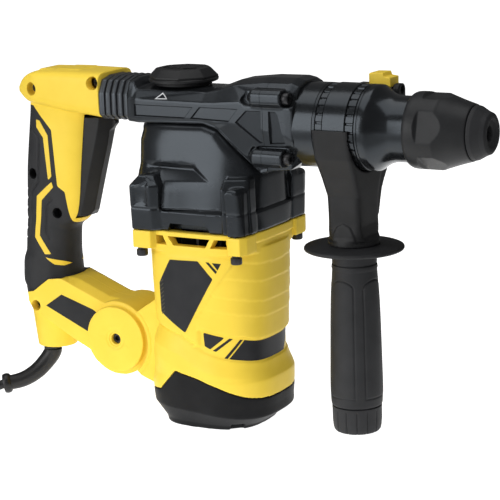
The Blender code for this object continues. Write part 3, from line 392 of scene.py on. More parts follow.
def size_of(ob):
    return len(ob.data.vertices), len(ob.data.polygons)


def combine(ob, tool, how, keep_tool=False):
    before = size_of(ob)
    for solver in ("MANIFOLD", "EXACT"):
        mod = ob.modifiers.new("combine", "BOOLEAN")
        mod.operation = how
        mod.solver = solver
        mod.object = tool
        bake(ob)
        if size_of(ob) != before:
            break
    if not keep_tool:
        bpy.data.objects.remove(tool, do_unlink=True)
    return ob


def cut(ob, *tools):
    for tool in tools:
        combine(ob, tool, "DIFFERENCE")
    return ob


def join(ob, *tools):
    for tool in tools:
        combine(ob, tool, "UNION")
    return ob


def keep(ob, tool):
    return combine(ob, tool, "INTERSECT")


def copy(ob, name):
    new = bpy.data.objects.new(name, ob.data.copy())
    WORK.objects.link(new)
    return new


def soften(ob, voxel, rounds, ratio=None):
    """Rounds every edge of a solid: an even skin, smoothed, then thinned where it is flat."""
    mod = ob.modifiers.new("skin", "REMESH")
    mod.mode = "VOXEL"
    mod.voxel_size = voxel
    if rounds:
        mod = ob.modifiers.new("smooth", "SMOOTH")
        mod.factor = 0.5
        mod.iterations = rounds
    bake(ob)
    if ratio:
        thin(ob, ratio)
    return ob


def thin(ob, ratio, calm=0):
    mod = ob.modifiers.new("thin", "DECIMATE")
    mod.ratio = ratio
    if calm:
        mod = ob.modifiers.new("calm", "SMOOTH")
        mod.factor = 0.5
        mod.iterations = calm
    return bake(ob)


def points_of(ob):
    p = np.empty(len(ob.data.vertices) * 3)
    ob.data.vertices.foreach_get("co", p)
    return p.reshape(-1, 3)


def normals_of(ob):
    n = np.empty(len(ob.data.vertices) * 3)
    ob.data.vertices.foreach_get("normal", n)
    return n.reshape(-1, 3)


def set_points(ob, p):
    ob.data.vertices.foreach_set("co", np.asarray(p, float).ravel())
    ob.data.update()
    return ob


def apart(poly, u, v):
    """Signed distance from points to a polygon's edge, below zero inside."""
    poly = np.asarray(poly, float)
    best = np.full(len(u), 1e9)
    inside = np.zeros(len(u), bool)
    for a, b in zip(poly, np.roll(poly, -1, 0)):
        e = b - a
        t = np.clip(((u - a[0]) * e[0] + (v - a[1]) * e[1]) / (e @ e), 0, 1)
        best = np.minimum(best, np.hypot(u - a[0] - t * e[0], v - a[1] - t * e[1]))
        if a[1] != b[1]:
            cross = (a[1] > v) != (b[1] > v)
            inside ^= cross & (u < (b[0] - a[0]) * (v - a[1]) / (b[1] - a[1]) + a[0])
    return np.where(inside, -best, best)


def along(line, u, v):
    """Distance from points to an open polyline."""
    best = np.full(len(u), 1e9)
    for a, b in zip(np.asarray(line, float), np.asarray(line[1:], float)):
        e = b - a
        t = np.clip(((u - a[0]) * e[0] + (v - a[1]) * e[1]) / (e @ e), 0, 1)
        best = np.minimum(best, np.hypot(u - a[0] - t * e[0], v - a[1] - t * e[1]))
    return best


def tree_of(ob):
    mesh = ob.data
    return BVHTree.FromPolygons([v.co for v in mesh.vertices], [p.vertices for p in mesh.polygons])


def inlay(name, polys, tree, ray, step=2.0, lift=0.16, sink=0.5):
    """Thin plates that follow a surface: polygons in (u, v), and ray(u, v) that gives a start and a way."""
    verts, faces = [], []
    for poly in polys:
        bm = bmesh.new()
        bm.faces.new([bm.verts.new((u, v, 0)) for u, v in poly])
        for axis in (0, 1):
            lo, hi = min(p[axis] for p in poly), max(p[axis] for p in poly)
            at = math.floor(lo / step) * step + step
            while at < hi:
                no = (1, 0, 0) if axis == 0 else (0, 1, 0)
                bmesh.ops.bisect_plane(bm, geom=bm.verts[:] + bm.edges[:] + bm.faces[:], dist=1e-5,
                                       plane_co=(at, at, 0), plane_no=no)
                at += step
        bmesh.ops.triangulate(bm, faces=bm.faces[:])
        bm.verts.index_update()
        base, count = len(verts), len(bm.verts)
        top, low = [], []
        for v in bm.verts:
            start, way = ray(v.co.x, v.co.y)
            start, way = Vector(start), Vector(way).normalized()
            hit = tree.ray_cast(start, way)[0]
            if hit is None:
                hit = tree.find_nearest(start + way * 60)[0]
            top.append(hit - way * lift)
            low.append(hit + way * sink)
        verts += top + low
        for f in bm.faces:
            i = [v.index for v in f.verts]
            faces.append(tuple(base + k for k in i))
            faces.append(tuple(base + count + k for k in i[::-1]))
        for e in bm.edges:
            if len(e.link_faces) == 1:
                loop = next(l for l in e.link_faces[0].loops if l.edge == e)
                a, b = loop.vert.index, loop.link_loop_next.vert.index
                faces.append((base + b, base + a, base + count + a, base + count + b))
        bm.free()
    return obj(name, verts, faces)


def piece(ob, name, body, mat, nodes=(), sharp=38.0):
    ob.name = name
    ob.data.name = name
    ob.data.transform(Matrix.Scale(MM, 4))
    ob.data.materials.clear()
    ob.data.materials.append(mat)
    ob.data.shade_smooth()
    if sharp:
        ob.data.set_sharp_from_angle(angle=math.radians(sharp))
    if nodes:
        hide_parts(*nodes)
    if body:
        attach(ob, body)
    return ob


def ring_stack(name, path, radii, sides=32, loop=False):
    rings = []
    for i, p in enumerate(path):
        ahead = (path[min(i + 1, len(path) - 1)] - path[max(i - 1, 0)]).normalized()
        side = ahead.cross(Vector((0, 0, 1))).normalized()
        up = side.cross(ahead)
        rings.append([p + radii[i] * (math.cos(t) * side + math.sin(t) * up)
                      for t in (2 * math.pi * k / sides for k in range(sides))])
    return skin(name, rings, loop)


# ---------------------------------------------------------------- cord, boot and plug
BOOT_ROUTE = ((-158.5, -1.5, 39.6), (-158.6, -1.6, 33.5), (-162.6, -4.8, 26.0), (-168.8, -11.2, 17.8),
              (-177.4, -18.6, 12.0), (-190.0, -26.5, 9.0))
COIL_AT, COIL_H = (-300.0, 0.0), 24.6
coarse = smooth_path(BOOT_ROUTE, 6.0)
end_dir = (coarse[-1] - coarse[-2]).normalized()
boot_path = smooth_path(BOOT_ROUTE, 1.0)
last = len(boot_path) - 1
boot_radii = []
for i in range(last + 1):
    r = 7.2 - 1.5 * i / last
    tail = last - i
    if tail < 6:
        r = max(r, 8.0 - 0.10 * (tail - 2.5) ** 2)
    if i < 2:
        r -= 0.4 * (2 - i) * 0.5
    boot_radii.append(r)
piece(ring_stack("boot", boot_path, boot_radii, 40), "cord_boot", "rear_handle", SHEATH, ("strain_relief",), 50)



def on_coil(radius, degrees, z):
    turn = math.radians(degrees)
    return Vector((COIL_AT[0] + radius * math.cos(turn), COIL_AT[1] + radius * math.sin(turn), z))


cord_start = coarse[-1] + 0.4 * end_dir
cord_points = smooth_path([cord_start, cord_start + 16 * end_dir + Vector((0, 0, -1.0)), Vector((-243.0, -49.5, 4.3)), on_coil(62.6, -75, 4.4)], 5.0)
# nine turns in three layers, inwards, outwards and inwards again, then over the top to the plug
lanes = [(53.9, 5.0), (46.0, 5.0), (38.0, 5.0), (38.0, 12.6), (46.0, 12.6), (53.9, 12.6), (53.9, 20.2), (46.0, 20.2), (38.1, 20.2)]
per_turn = 48
coil = []
for k in range(1, int(round(8.79 * per_turn)) + 1):
    w = k / per_turn
    i = int(w)
    f = w - i
    a, b = lanes[i], lanes[min(i + 1, len(lanes) - 1)]
    if i == 0 and f < 0.2:
        a = (62.6 + (53.9 - 62.6) * float(ease(f / 0.2)), 4.4 + 0.6 * float(ease(f / 0.2)))
    part = float(ease((f - 0.62) / 0.38))
    r, z = a[0] + (b[0] - a[0]) * part, a[1] + (b[1] - a[1]) * part
    if i == 8 and f > 0.45:
        climb = math.pi - 0.5 * math.pi * float(ease((f - 0.45) / 0.34))
        r, z = 46.0 + 7.9 * math.cos(climb), 20.2 + 7.9 * math.sin(climb)
    coil.append(on_coil(r, -75 - 360 * w, z))
cord_points += coil
PLUG_TURN, PLUG_Z = math.radians(110), COIL_H + 12.5
plug_dir = Vector((math.cos(PLUG_TURN), math.sin(PLUG_TURN), 0))
PLUG_AT = on_coil(42.0, 200, 0.0) - 31 * plug_dir
plug_tail = PLUG_AT + Vector((0, 0, PLUG_Z)) - 0.4 * plug_dir
cord_points += smooth_path([coil[-1], on_coil(46, -28, 28.1), on_coil(47, -56, 28.3), on_coil(52, -82, 29.4), on_coil(56.5, -103, 32.0),
                            plug_tail - 7 * plug_dir, plug_tail], 5.0)[1:]
curve = bpy.data.curves.new("mains_cord", "CURVE")
curve.dimensions = "3D"
curve.bevel_depth = 3.75 * MM
curve.bevel_resolution = 4
curve.use_fill_caps = True
spline = curve.splines.new("POLY")
spline.points.add(len(cord_points) - 1)
for p, q in zip(spline.points, cord_points):
    p.co = (*(q * MM), 1.0)
spline.use_smooth = True
curve.materials.append(SHEATH)
mains_cord = bpy.data.objects.new("mains_cord", curve)
WORK.objects.link(mains_cord)
cord_length = sum((b - a).length for a, b in zip(cord_points, cord_points[1:])) * MM

plug_rows = ((0.0, 5.6, 5.6), (4.0, 6.6, 6.4), (22.0, 9.5, 8.5), (30.0, 18.0, 12.6), (42.0, 18.5, 13.0), (43.5, 17.0, 12.0))
plug_along = np.concatenate([np.linspace(0, 42.0, 64), np.linspace(42.3, 43.5, 5)])
plug_size = np.stack([np.interp(plug_along, [r[0] for r in plug_rows], [r[k] for r in plug_rows]) for k in (1, 2)], 1)
across = Vector((-plug_dir.y, plug_dir.x, 0))
rings = []
for d, (wide, high) in zip(plug_along.tolist(), plug_size.tolist()):
    pinch = 0.55 * max(0.0, math.sin((d - 6) / 14 * math.pi * 4)) if 6 < d < 20 else 0.0
    pinch += 0.5 if 34 < d < 40 and int((d - 34) / 1.2) % 2 else 0.0
    centre = PLUG_AT + d * plug_dir + Vector((0, 0, PLUG_Z))
    rings.append([centre + across * y + Vector((0, 0, z)) for y, z in squircle(wide - pinch, high - pinch, 2.4, 40)])
plug = piece(skin("plug", rings), "plug_body", "rear_handle", SHEATH, ("mains_plug",), 40)
pins = None
for side in (-9.5, 9.5):
    base = PLUG_AT + 42.0 * plug_dir + across * side + Vector((0, 0, PLUG_Z))
    pin = ring_stack("pin", [base + d * plug_dir for d in (0, 10.0, 10.05, 19.3, 20.0, 20.45)], [2.4, 2.4, 2.15, 2.15, 1.9, 1.2], 24)
    if pins is None:
        pins = pin
    else:
        join(pins, pin)
plug_pins = piece(pins, "plug_pins", "rear_handle", STEEL, (), 40)
tie_loop = rounded([(31.8, 0.15), (59.6, 0.15), (59.6, 25.6), (31.8, 25.6)], 5.0, 5)
tie_inner = rounded([(32.8, 1.1), (58.6, 1.1), (58.6, 24.7), (32.8, 24.7)], 4.2, 5)
tie_turn = math.radians(142)
tie_ways = Vector((math.cos(tie_turn), math.sin(tie_turn), 0)), Vector((-math.sin(tie_turn), math.cos(tie_turn), 0))


def tie_ring(outline, half):
    return [Vector((COIL_AT[0], COIL_AT[1], z)) + tie_ways[0] * r + tie_ways[1] * half for r, z in outline]


coil_tie = piece(skin("tie", [tie_ring(tie_loop, -5), tie_ring(tie_loop, 5), tie_ring(tie_inner, 5), tie_ring(tie_inner, -5)], True),
                 "coil_tie", "rear_handle", RUBBER, (), 40)
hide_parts("power_cord", "cord_coil", "cord_tail")
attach(mains_cord, "rear_handle")
print("cord length", round(cord_length, 3))

# ---------------------------------------------------------------- motor housing
RIM = ((-60, 78), (-41, 76.9), (-25, 74.5), (-11, 71.0), (0, 64.5), (7, 60.4), (23, 56.3), (34, 54.3), (43.2, 51.7), (50, 50.0))
RECESS = ((-60, 78.6), (-41, 77.5), (-25, 75.1), (-11, 71.6), (0, 65.3), (3.4, 64.0), (5.4, 76.9), (8, 76.5), (22, 74.0), (35, 71.6), (42, 68.7), (50, 67.0))
CREASE = ((60, -0.6), (66, 0.2), (85, 2.4), (126, 28.0), (140, 35.4))
BANDS = (74.4, 92.6, 104.2, 119.2, 132.4)
LOW = ((0, -8.6), (0.8, -8.0), (4.2, -7.2), (4.6, -6.6), (17, 4.9), (24, 5.6), (38, 6.0), (48, 5.2), (52, 3.9), (56, 2.4), (59, 1.5), (60.6, 1.2), (61.2, 0.0),
       (200, 0.0))
BORDER = ((-70, 26), (-46, 26.4), (-31, 29), (-16, 45), (3, 41), (20, 35.4), (37, 28.6), (46, 25.6), (60, 22))


def motor_rings(z0, z1, step, count, detail=True):
    t = (np.arange(count) + 0.5) * 2 * np.pi / count
    ux = np.sign(np.cos(t)) * abs(np.cos(t)) ** (2 / 2.8)
    uy = np.sign(np.sin(t)) * abs(np.sin(t)) ** (2 / 2.8)
    x = 43.4 * ux
    rim, top = read(RIM, x), read(RECESS, x)
    rings = []
    for z in np.linspace(z0, z1, int(round((z1 - z0) / step)) + 1):
        zz = z + (61 - rim) * ease((z - 26) / 20)
        low = read(LOW, zz)
        up = read(((60, 2.2), (83, 3.4), (110, 4.6), (137.8, 5.2), (150, 5.2)), z) * ease((z - top) / 1.8)
        d = np.maximum(low, up) if z > 40 else low
        if z < 40:
            x0 = 43.4 * ux
            tall = np.interp(x0, (-48, 0, 48), (18.0, 15.5, 10.0))
            d = read(LOW, np.minimum(z * 17.0 / tall, 17.0) if z < 17.0 else np.full(count, float(z)))
            d = np.where(z < 17.0, 4.9 + (d - 4.9) * np.interp(x0, (-48, 48), (0.62, 1.0)), d)
            d = d + 1.3 * ease((-10 - x0) / 25) * float(ease((40 - z) / 8))
        if detail:
            level = z - (top - 74.4)
            part = np.zeros(count)
            for e0, e1 in zip(BANDS, BANDS[1:]):
                here = (level >= e0) & (level < e1)
                part = np.where(here, (level - e0) / (e1 - e0), part)
            front = ease((x - float(read(CREASE, z))) / 1.0)
            above = ease((z - top - 1.0) / 2.0)
            d = d - 0.45 * part * front * above
            d = d - 0.55 * np.exp(-((x - float(read(CREASE, z)) - 0.4) / 0.7) ** 2) * above * float(ease((134 - z) / 3))
            d = d + 0.55 * (1 - front) * above * ease((134 - z) / 3) * ease((x + 36) / 4)
        rings.append(np.stack([(43.4 + d) * ux, (41.6 + 0.9 * d) * uy, np.full(count, z)], 1))
    return rings


def below_border(name, offset):
    top = [(x, z + offset) for x, z in BORDER]
    return prism(name, top[::-1] + [(-70, -10), (60, -10)], -70, 70)


def flat_ring(z, a, b, power, count=64, cx=0.0):
    s = squircle(a, b, power, count)
    return np.stack([s[:, 0] + cx, s[:, 1], np.full(count, float(z))], 1)


CORNERS = [(1, -1), (1, 1), (-1, 1), (-1, -1)]
motor = skin("motor", motor_rings(8.0, 139.0, 0.9, 168))
join(motor, skin("flange_low", [flat_ring(z, 47.0, 46.0, 4.0) for z in (135.5, 144.6)]),
     skin("flange_top", [flat_ring(z, 48.0, 46.5, 4.0) for z in (143.8, 150.4)]))
for sx, sy in CORNERS:
    corner = ((34.5, 30), (48, 30), (48, 44), (45.4, 50.5), (35.4, 50.5), (34.5, 44)) if sx > 0 else ((28.6, 30), (48, 30), (48, 44), (45, 50.5), (30.0, 50.5), (28.6, 46))
    pent = [(sx * x, sy * y) for x, y in corner]
    join(motor, prism("lug", pent, 137.5, 150.4, "Z"))
arc_points = arc(PIVOT[0], PIVOT[1], 29.5, 50, -50, 40)
join(motor, prism("bracket", [(-30, 98), (-44, 92.4)] + arc_points + [(-59.3, 31.0), (-47.3, 26.7), (-38.8, 25.4), (-30, 25.4)], -26, 26))
cut(motor, below_border("border", 0.15))
soften(motor, 0.62, 5)
p, n = points_of(motor), normals_of(motor)
# raised edge of the rear bracket that follows the pivot disc
reach = np.hypot(p[:, 0] - PIVOT[0], p[:, 1] * 0 + p[:, 2] - PIVOT[1])
groove = np.exp(-((reach - 33.0) / 0.7) ** 2) * (p[:, 0] < -40) * (abs(n[:, 1]) > 0.8)
p = p - n * (0.7 * groove)[:, None]
set_points(motor, p)
thin(motor, 0.42)
motor_tree = tree_of(motor)
cut(motor, skin("fan_room", [flat_ring(z, 42.5, 39.5, 3.0, 32) for z in (119, 160)]))
cut(motor, turned("stator_room", [(0, 20), (36.4, 20), (36.4, 125), (0, 125)], steps=40))
vents = None
for x0, t0, t1, x1 in ((-28.2, -28.2, -21.7, -19.0), (-13.2, -17.6, 18.2, 14.0), (17.8, 21.6, 31.0, 31.0)):
    hole = prism("vent", [(t0, 147.2), (t1, 147.2), (x1, 140.4), (x0, 140.4)], -60, 60)
    vents = hole if vents is None else join(vents, hole)
cut(motor, vents)
lug_end = arc(PIVOT[0], PIVOT[1], 12.5, 90, 270, 20)
join(motor, prism("pivot_lug", lug_end + [(-38, PIVOT[1] - 12.5), (-38, PIVOT[1] + 12.5)], -8.7, 8.7))
cut(motor, turned("pivot_bore", [(0, -30), (4.25, -30), (4.25, 30), (0, 30)], "Y", (PIVOT[0], 0, PIVOT[1]), 32))
for sx, sy in CORNERS:
    cut(motor, turned("flange_hole", [(0, 130), (2.8, 130), (2.8, 160), (0, 160)], "Z", (sx * 40, sy * 46, 0), 20))
piece(motor, "motor_housing_shell", "main", YELLOW, ("motor_housing",))

cap = skin("cap", motor_rings(0.0, 52.0, 0.9, 144, False))
keep(cap, below_border("cap_border", -0.15))
for turn in (-48, 132):
    notch = block("notch", (-5, 36, -2), (5, 52, 5.5))
    notch.data.transform(Matrix.Rotation(math.radians(turn - 90), 4, "Z"))
    cut(cap, notch)
cut(cap, prism("foot_relief", grown(squircle(26, 25, 3.0, 40), 0), -2, 1.2, "Z"))
soften(cap, 0.7, 4, 0.35)
cut(cap, turned("cap_room", [(0, 60), (34, 60), (34, 5), (15, 5), (15, 24), (11.3, 24), (11.3, 15.7), (0, 15.7)][::-1], steps=40))
piece(cap, "bottom_cap_shell", "main", FOOT, ("bottom_cap",))

# plates on the motor housing: bare label, plain diagonal marks and the lower band
ring_t = np.linspace(-0.5 * np.pi, 1.5 * np.pi, 721)
ring_x = 43.4 * np.sign(np.cos(ring_t)) * abs(np.cos(ring_t)) ** (2 / 2.8)
ring_y = 41.6 * np.sign(np.sin(ring_t)) * abs(np.sin(ring_t)) ** (2 / 2.8)
ring_s = np.concatenate([[0], np.cumsum(np.hypot(np.diff(ring_x), np.diff(ring_y)))])


def round_motor(u, v):
    if u < 0:
        return (u, -80, v), (0, 1, 0)
    x, y = np.interp(u, ring_s, ring_x), np.interp(u, ring_s, ring_y)
    return (x * 1.6, y * 1.6, v), (-x, -y, 0)


def side_ray(u, v):
    return (u, -80, v), (0, 1, 0)


label = rounded([(-16.6, 129.6), (7.6, 130.4), (18.9, 117.6), (-6.4, 75.0), (-28.6, 88.4), (-28.4, 110.6)], 1.2, 3)
piece(inlay("label", [label], motor_tree, side_ray, 2.0, 0.3), "bare_label", "main", LABEL)
marks = [[(19.2, 129.8), (25.6, 129.4), (23.0, 124.6)], [(14.2, 130.2), (16.4, 130.1), (22.5, 123.5), (21.5, 121.9)]]
piece(inlay("marks", marks, motor_tree, side_ray, 2.0, 0.3), "label_marks", "main", LABEL)
hairs = []
for k in range(9):
    z = 86.5 + 3.0 * k
    hairs.append([(-27.7, z), (-27.7, z + 1.0), (-24.2, z + 3.6), (-24.2, z + 2.6)])
piece(inlay("hairs", hairs, motor_tree, side_ray, lift=0.38, sink=0.2), "label_lines", "main", HAIR)


def band_top(s):
    return float(read(RECESS, np.interp(s, ring_s, ring_x))) - 0.9


def band_low(s):
    return float(read(RIM, np.interp(s, ring_s, ring_x))) + 0.9


def slanted(s0, s1, lean=11.0, parts=1):
    """A bar of the lower band between two slanted ends given at its middle height."""
    top = [(s, band_top(s)) for s in np.linspace(s0 + lean / 2, s1 + lean / 2, parts + 1)]
    low = [(s, band_low(s)) for s in np.linspace(s1 - lean / 2, s0 - lean / 2, parts + 1)]
    return top + low


bars = [rounded([(7.2, band_top(7.2)), (24.0, band_top(24.0)), (12.4, 63.4), (7.9, 65.6)], 1.0, 3), [(27.4, band_top(27.4)), (29.9, band_top(29.9)), (17.0, 61.9), (14.4, 62.5)],
        [(35.2, band_top(35.2)), (37.3, band_top(37.3)), (25.6, band_low(25.6)), (23.2, band_low(23.2))]]
main_bar = slanted(32.6, 92.0, 11.8, 24)
piece(inlay("band", bars + [main_bar], motor_tree, round_motor), "lower_band", "main", LABEL)

# flange bolts with a hexagon socket
for k, (sx, sy) in enumerate(CORNERS, 1):
    x, y = sx * 40.0, sy * 46.0
    bolt = turned("bolt", [(0, 175), (2.4, 175), (2.4, 137.4), (3.2, 137.4), (3.2, 136.0), (4.2, 135.6), (4.25, 132.0), (3.8, 131.0), (0, 131.0)],
                  "Z", (x, y, 0), 36)
    cut(bolt, prism("hex", [(x + 2.1 * math.cos(a), y + 2.1 * math.sin(a)) for a in np.radians(np.arange(0, 360, 60))], 129, 134, "Z"))
    piece(bolt, f"flange_bolt_{k}_socket", "main", BLACK_STEEL, (f"flange_bolt_{k}",))

# ---------------------------------------------------------------- gear case and barrel housing
BARREL = ((-62.0, 226.0, 22.5, 25.0, 229.5, 243.5, 21.0, 255.5, 258.0), (-57.5, 225.8, 23.0, 25.6, 229.5, 243.5, 21.3, 255.5, 258.0),
          (-53.6, 225.6, 24.0, 26.4, 229.5, 243.5, 23.0, 250.5, 252.0), (5.0, 227.5, 27.0, 29.2, 231.5, 243.5, 23.0, 250.5, 252.0),
          (16.0, 224.5, 27.5, 29.8, 229.0, 244.0, 22.5, 252.6, 254.8), (28.0, 213.5, 27.2, 30.3, 230.0, 245.0, 21.0, 256.4, 259.2),
          (51.0, 193.5, 25.0, 31.0, 228.0, 247.5, 20.0, 258.8, 261.6), (58.0, 195.6, 25.2, 31.0, 226.0, 248.0, 20.0, 258.8, 261.6))


def barrel_ring(section):
    x, zb, wb, w, z1, z2, wt, zt, zc = section
    half = [(wb, zb), (w, z1), (w, z2), (wt, zt), (0.45 * wt, zc)]
    return [(x, -y, z) for y, z in half] + [(x, y, z) for y, z in half[::-1]]


def barrel_side(x, z):
    zb, wb, w, z1 = (float(np.interp(x, [s[0] for s in BARREL] + [74.0], [s[k] for s in BARREL] + [end]))
                     for k, end in ((1, 197.5), (2, 23.5), (3, 31.0), (4, 223.0)))
    return w if z >= z1 else wb + (w - wb) * max(0.0, z - zb) / (z1 - zb)


case_rows = ((150.7, 0.0, 48.0, 44.2, 3.8), (165.2, 0.0, 48.2, 46.4, 3.8), (167.4, -3.5, 50.5, 39.3, 3.5), (190.0, -5.0, 52.0, 35.5, 3.6),
             (213.0, -5.0, 52.0, 32.0, 3.6), (220.0, -5.0, 50.5, 30.5, 3.4), (229.0, -6.0, 54.0, 29.0, 3.4))
case = skin("case", [flat_ring(z, a, b, q, 96, cx) for z, cx, a, b, q in case_rows])
for sx, sy in CORNERS:
    def lug_ring(z, inset, grow=0.0):
        lo_x, hi_x, far = (34.6, 46.2, 50.5 + grow) if sx > 0 else (27.6, 48.0, 50.5 + grow)
        if sx > 0 and sy > 0:
            hi_x = 47.4
        slope = 0.0 if sx > 0 else 0.34 * inset
        turn = 1.4 if sx > 0 and sy < 0 else 0.0
        soft = 4.5 if sx < 0 else 0.0
        return [(sx * x, sy * y, z - (slope if x > 40 else 0)) for x, y in ((lo_x - soft + inset, 30), (hi_x - inset, 30), (hi_x - inset, 45 - turn - inset),
                                                                         (hi_x - 2.0 - inset, far - turn - inset), (lo_x + 0.8 + inset, far - inset),
                                                                         (lo_x - soft + inset, far - soft - inset - 0.1))]
    if sx > 0:
        join(case, skin("case_lug", [lug_ring(150.7, 0, -1.2), lug_ring(182.6, 0.0, 1.6), lug_ring(184.4, 0.8, 1.6), lug_ring(185.6, 2.6, 1.6)]))
    else:
        join(case, skin("case_lug", [lug_ring(150.7, 0, -1.2), lug_ring(184.0, 0.2, 1.4), lug_ring(191.5, 6.0, 1.4)]))
        continue
    wide = [(sx * x, sy * y) for x, y in ((28.0, 28), (47.4, 28), (47.4, 37), (45.4, 39.6), (29.6, 46.9), (28.0, 46.0))]
    low = [(x, y * 0.955, 150.7) for x, y in wide]
    mid = [(x * 0.995, y * 1.0, 184.0) for x, y in wide]
    high = [(sx * 3 + x * 0.90, y * 0.90, 191.0) for x, y in wide]
    join(case, skin("case_pad", [low, mid, high]))
soften(case, 0.7, 5)
p, n = points_of(case), normals_of(case)
side = abs(n[:, 1])
# ledge in the side: a steep step down from the top and the slanted end, and a long way out again
ramp_poly = [(-58, 199.0), (-0.6, 199.0), (14.0, 186.6), (-58, 186.6)]
d = apart(ramp_poly, p[:, 0], p[:, 2])
brim = along([(-70, 199.0), (-0.6, 199.0), (14.0, 186.6)], p[:, 0], p[:, 2])
fall = np.minimum(3.4 * np.clip(brim / 3.6, 0, 1), 3.4 * np.clip((p[:, 2] - 186.6) / 8.0, 0, 1))
fall *= ease((p[:, 0] + 46) / 14)
p[:, 1] -= np.sign(p[:, 1]) * np.where((side > 0.35) & (abs(p[:, 1]) > 24) & (abs(p[:, 1]) < 41) & (d < 0), fall, 0)
panel = [(-43.6, 168.8), (-31.4, 168.8), (-31.0, 187.2), (-42.6, 182.6)]
d = apart(panel, p[:, 0], p[:, 2])
lugs = (abs(p[:, 1]) > 44.5) & (side > 0.4)
p[:, 1] -= np.sign(p[:, 1]) * np.where(lugs, 1.5 * ease(-d / 0.9), 0)
# slope from the rear lugs to the side wall
foot = (side > 0.3) & (abs(p[:, 1]) > 24) & (abs(p[:, 1]) < 47.0)
slope_out = np.clip((22 - p[:, 0]) / 49, 0, 1) ** 1.6 * np.where(p[:, 2] > 166.5, 6.4, 0.8) * ease((198 - p[:, 2]) / 20)
p[:, 1] += np.sign(p[:, 1]) * np.where(foot, slope_out * np.clip((47.5 - abs(p[:, 1])) / 5, 0, 1), 0)
# rounded shoulder under the barrel housing
seam_rows = [(s[0], s[1] - 0.3) for s in BARREL]
below = np.where(p[:, 2] < read(seam_rows, p[:, 0]), np.clip(along(seam_rows, p[:, 0], p[:, 2]), 0, 7.5), 0)
shoulder = 7.5 - np.sqrt(np.clip(7.5 ** 2 - (7.5 - below) ** 2, 0, None))
level_out = np.stack([n[:, 0], n[:, 1]], 1) / np.maximum(np.hypot(n[:, 0], n[:, 1]), 0.3)[:, None]
p[:, :2] -= level_out * (0.62 * shoulder)[:, None]
seam = np.exp(-((p[:, 2] - 167.2) / 0.55) ** 2) * 0.5
p -= n * seam[:, None] * (abs(n[:, 2]) < 0.75)[:, None]
set_points(case, p)
thin(case, 0.42, 3)
seam_line = [(s[0], s[1] - 0.3) for s in BARREL]
cut(case, prism("case_top", [(-70, seam_line[0][1])] + seam_line + [(70, seam_line[-1][1]), (70, 260), (-70, 260)], -60, 60))
cut(case, skin("case_room", [flat_ring(z, a, b, 3.0, 32) for z, a, b in ((158.0, 43.0, 33.5), (190.0, 43.5, 30.0), (212.0, 44.5, 27.0), (226.0, 44.5, 23.5), (240.0, 44.5, 23.0))]))
cut(case, turned("bearing_seat", [(0, 140), (11.3, 140), (11.3, 170), (0, 170)], steps=40))
for sy in (-1, 1):
    cut(case, prism("window", [(-19.5, 149), (-15.5, 156.6), (15.0, 156.6), (18.5, 149)], *sorted((sy * 34.5, sy * 60))))
for sx, sy in CORNERS:
    cut(case, turned("case_hole", [(0, 140), (2.5, 140), (2.5, 176), (0, 176)], "Z", (sx * 40, sy * 46, 0), 20))
piece(case, "gear_case_shell", "main", PAINT, ("gear_case",))

NOSE_BLOCK = ((54.0,) + BARREL[-1][1:], (74.0, 197.5, 23.5, 31.0, 223.0, 247.5, 20.0, 259.0, 261.8),
              (80.0, 202.5, 18.0, 30.6, 219.0, 241.0, 18.0, 256.5, 259.8))
SCREW_AT = [(sy * 28.0, AX + sz * 21.5) for sy, sz in ((-1, 1), (-1, -1), (1, -1), (1, 1))]
UPPER_POCKET = [(36.5, 246.8), (44.0, 257.5), (80.0, 257.0), (80.0, 243.6), (41.5, 243.6)]
LOWER_POCKET = [(40.0, 206.0), (46.0, 213.6), (80.0, 215.4), (80.0, 199.6), (50.0, 199.6)]


def front_details(ob, x0, x1):
    """Pockets around the four screw towers and the towers themselves, between two cuts across the axis."""
    for sy in (-1, 1):
        for pocket, deep in ((UPPER_POCKET, 6.5), (LOWER_POCKET, 5.5)):
            cut(ob, prism("pocket", rounded(pocket, 2.0, 3), *sorted((sy * (31.0 - deep), sy * 60))))
    for y, z in SCREW_AT:
        up = 1 if z > AX else -1
        sy = 1 if y > 0 else -1
        tower = [(y - sy * 9, z - 6.2), (y + sy * 3.8, z - 6.2), (y + sy * 6.6, z - 3.2), (y + sy * 6.6, z + 3.2), (y + sy * 3.8, z + 6.2), (y - sy * 9, z + 6.2)]
        rings = []
        for x, k in ((43.5, 0.45), (48.5, 1.0), (72.0, 1.0)):
            rings.append([(x, (y - sy * 9) + (u - (y - sy * 9)) * (k if k == 1 else 0.72), z + (v - z) * k) for u, v in tower])
        join(ob, skin("tower", rings))
    cut(ob, block("before", (x0 - 100, -70, 150), (x0, 70, 300)))
    cut(ob, block("after", (x1, -70, 150), (x1 + 100, 70, 300)))
    return ob


barrel = skin("barrel", [barrel_ring(s) for s in BARREL])
join(barrel, skin("more", [barrel_ring((57.0,) + BARREL[-1][1:]), barrel_ring((62.0,) + NOSE_BLOCK[1][1:])]))
front_details(barrel, -80.0, 60.0)
soften(barrel, 0.62, 4)
# raised lip along the lower edge
p, n = points_of(barrel), normals_of(barrel)
height = p[:, 2] - read([(s[0], s[1]) for s in BARREL], p[:, 0])
lip = np.exp(-((height - 1.3) / 1.0) ** 2) * ease((58 - p[:, 0]) / 3) * (abs(n[:, 1]) > 0.3)
p[:, 1] += np.sign(p[:, 1]) * 0.9 * lip
set_points(barrel, p)
thin(barrel, 0.42, 2)
PANELS = ([(-54.5, 239.0), (-4.2, 239.4), (-10.8, 232.0), (-54.3, 231.6)], [(3.2, 239.8), (34.4, 240.0), (27.4, 231.6), (-4.0, 232.2)],
          [(34.2, 231.0), (42.6, 239.2), (54.2, 239.6), (54.0, 217.4), (52.8, 217.2)])


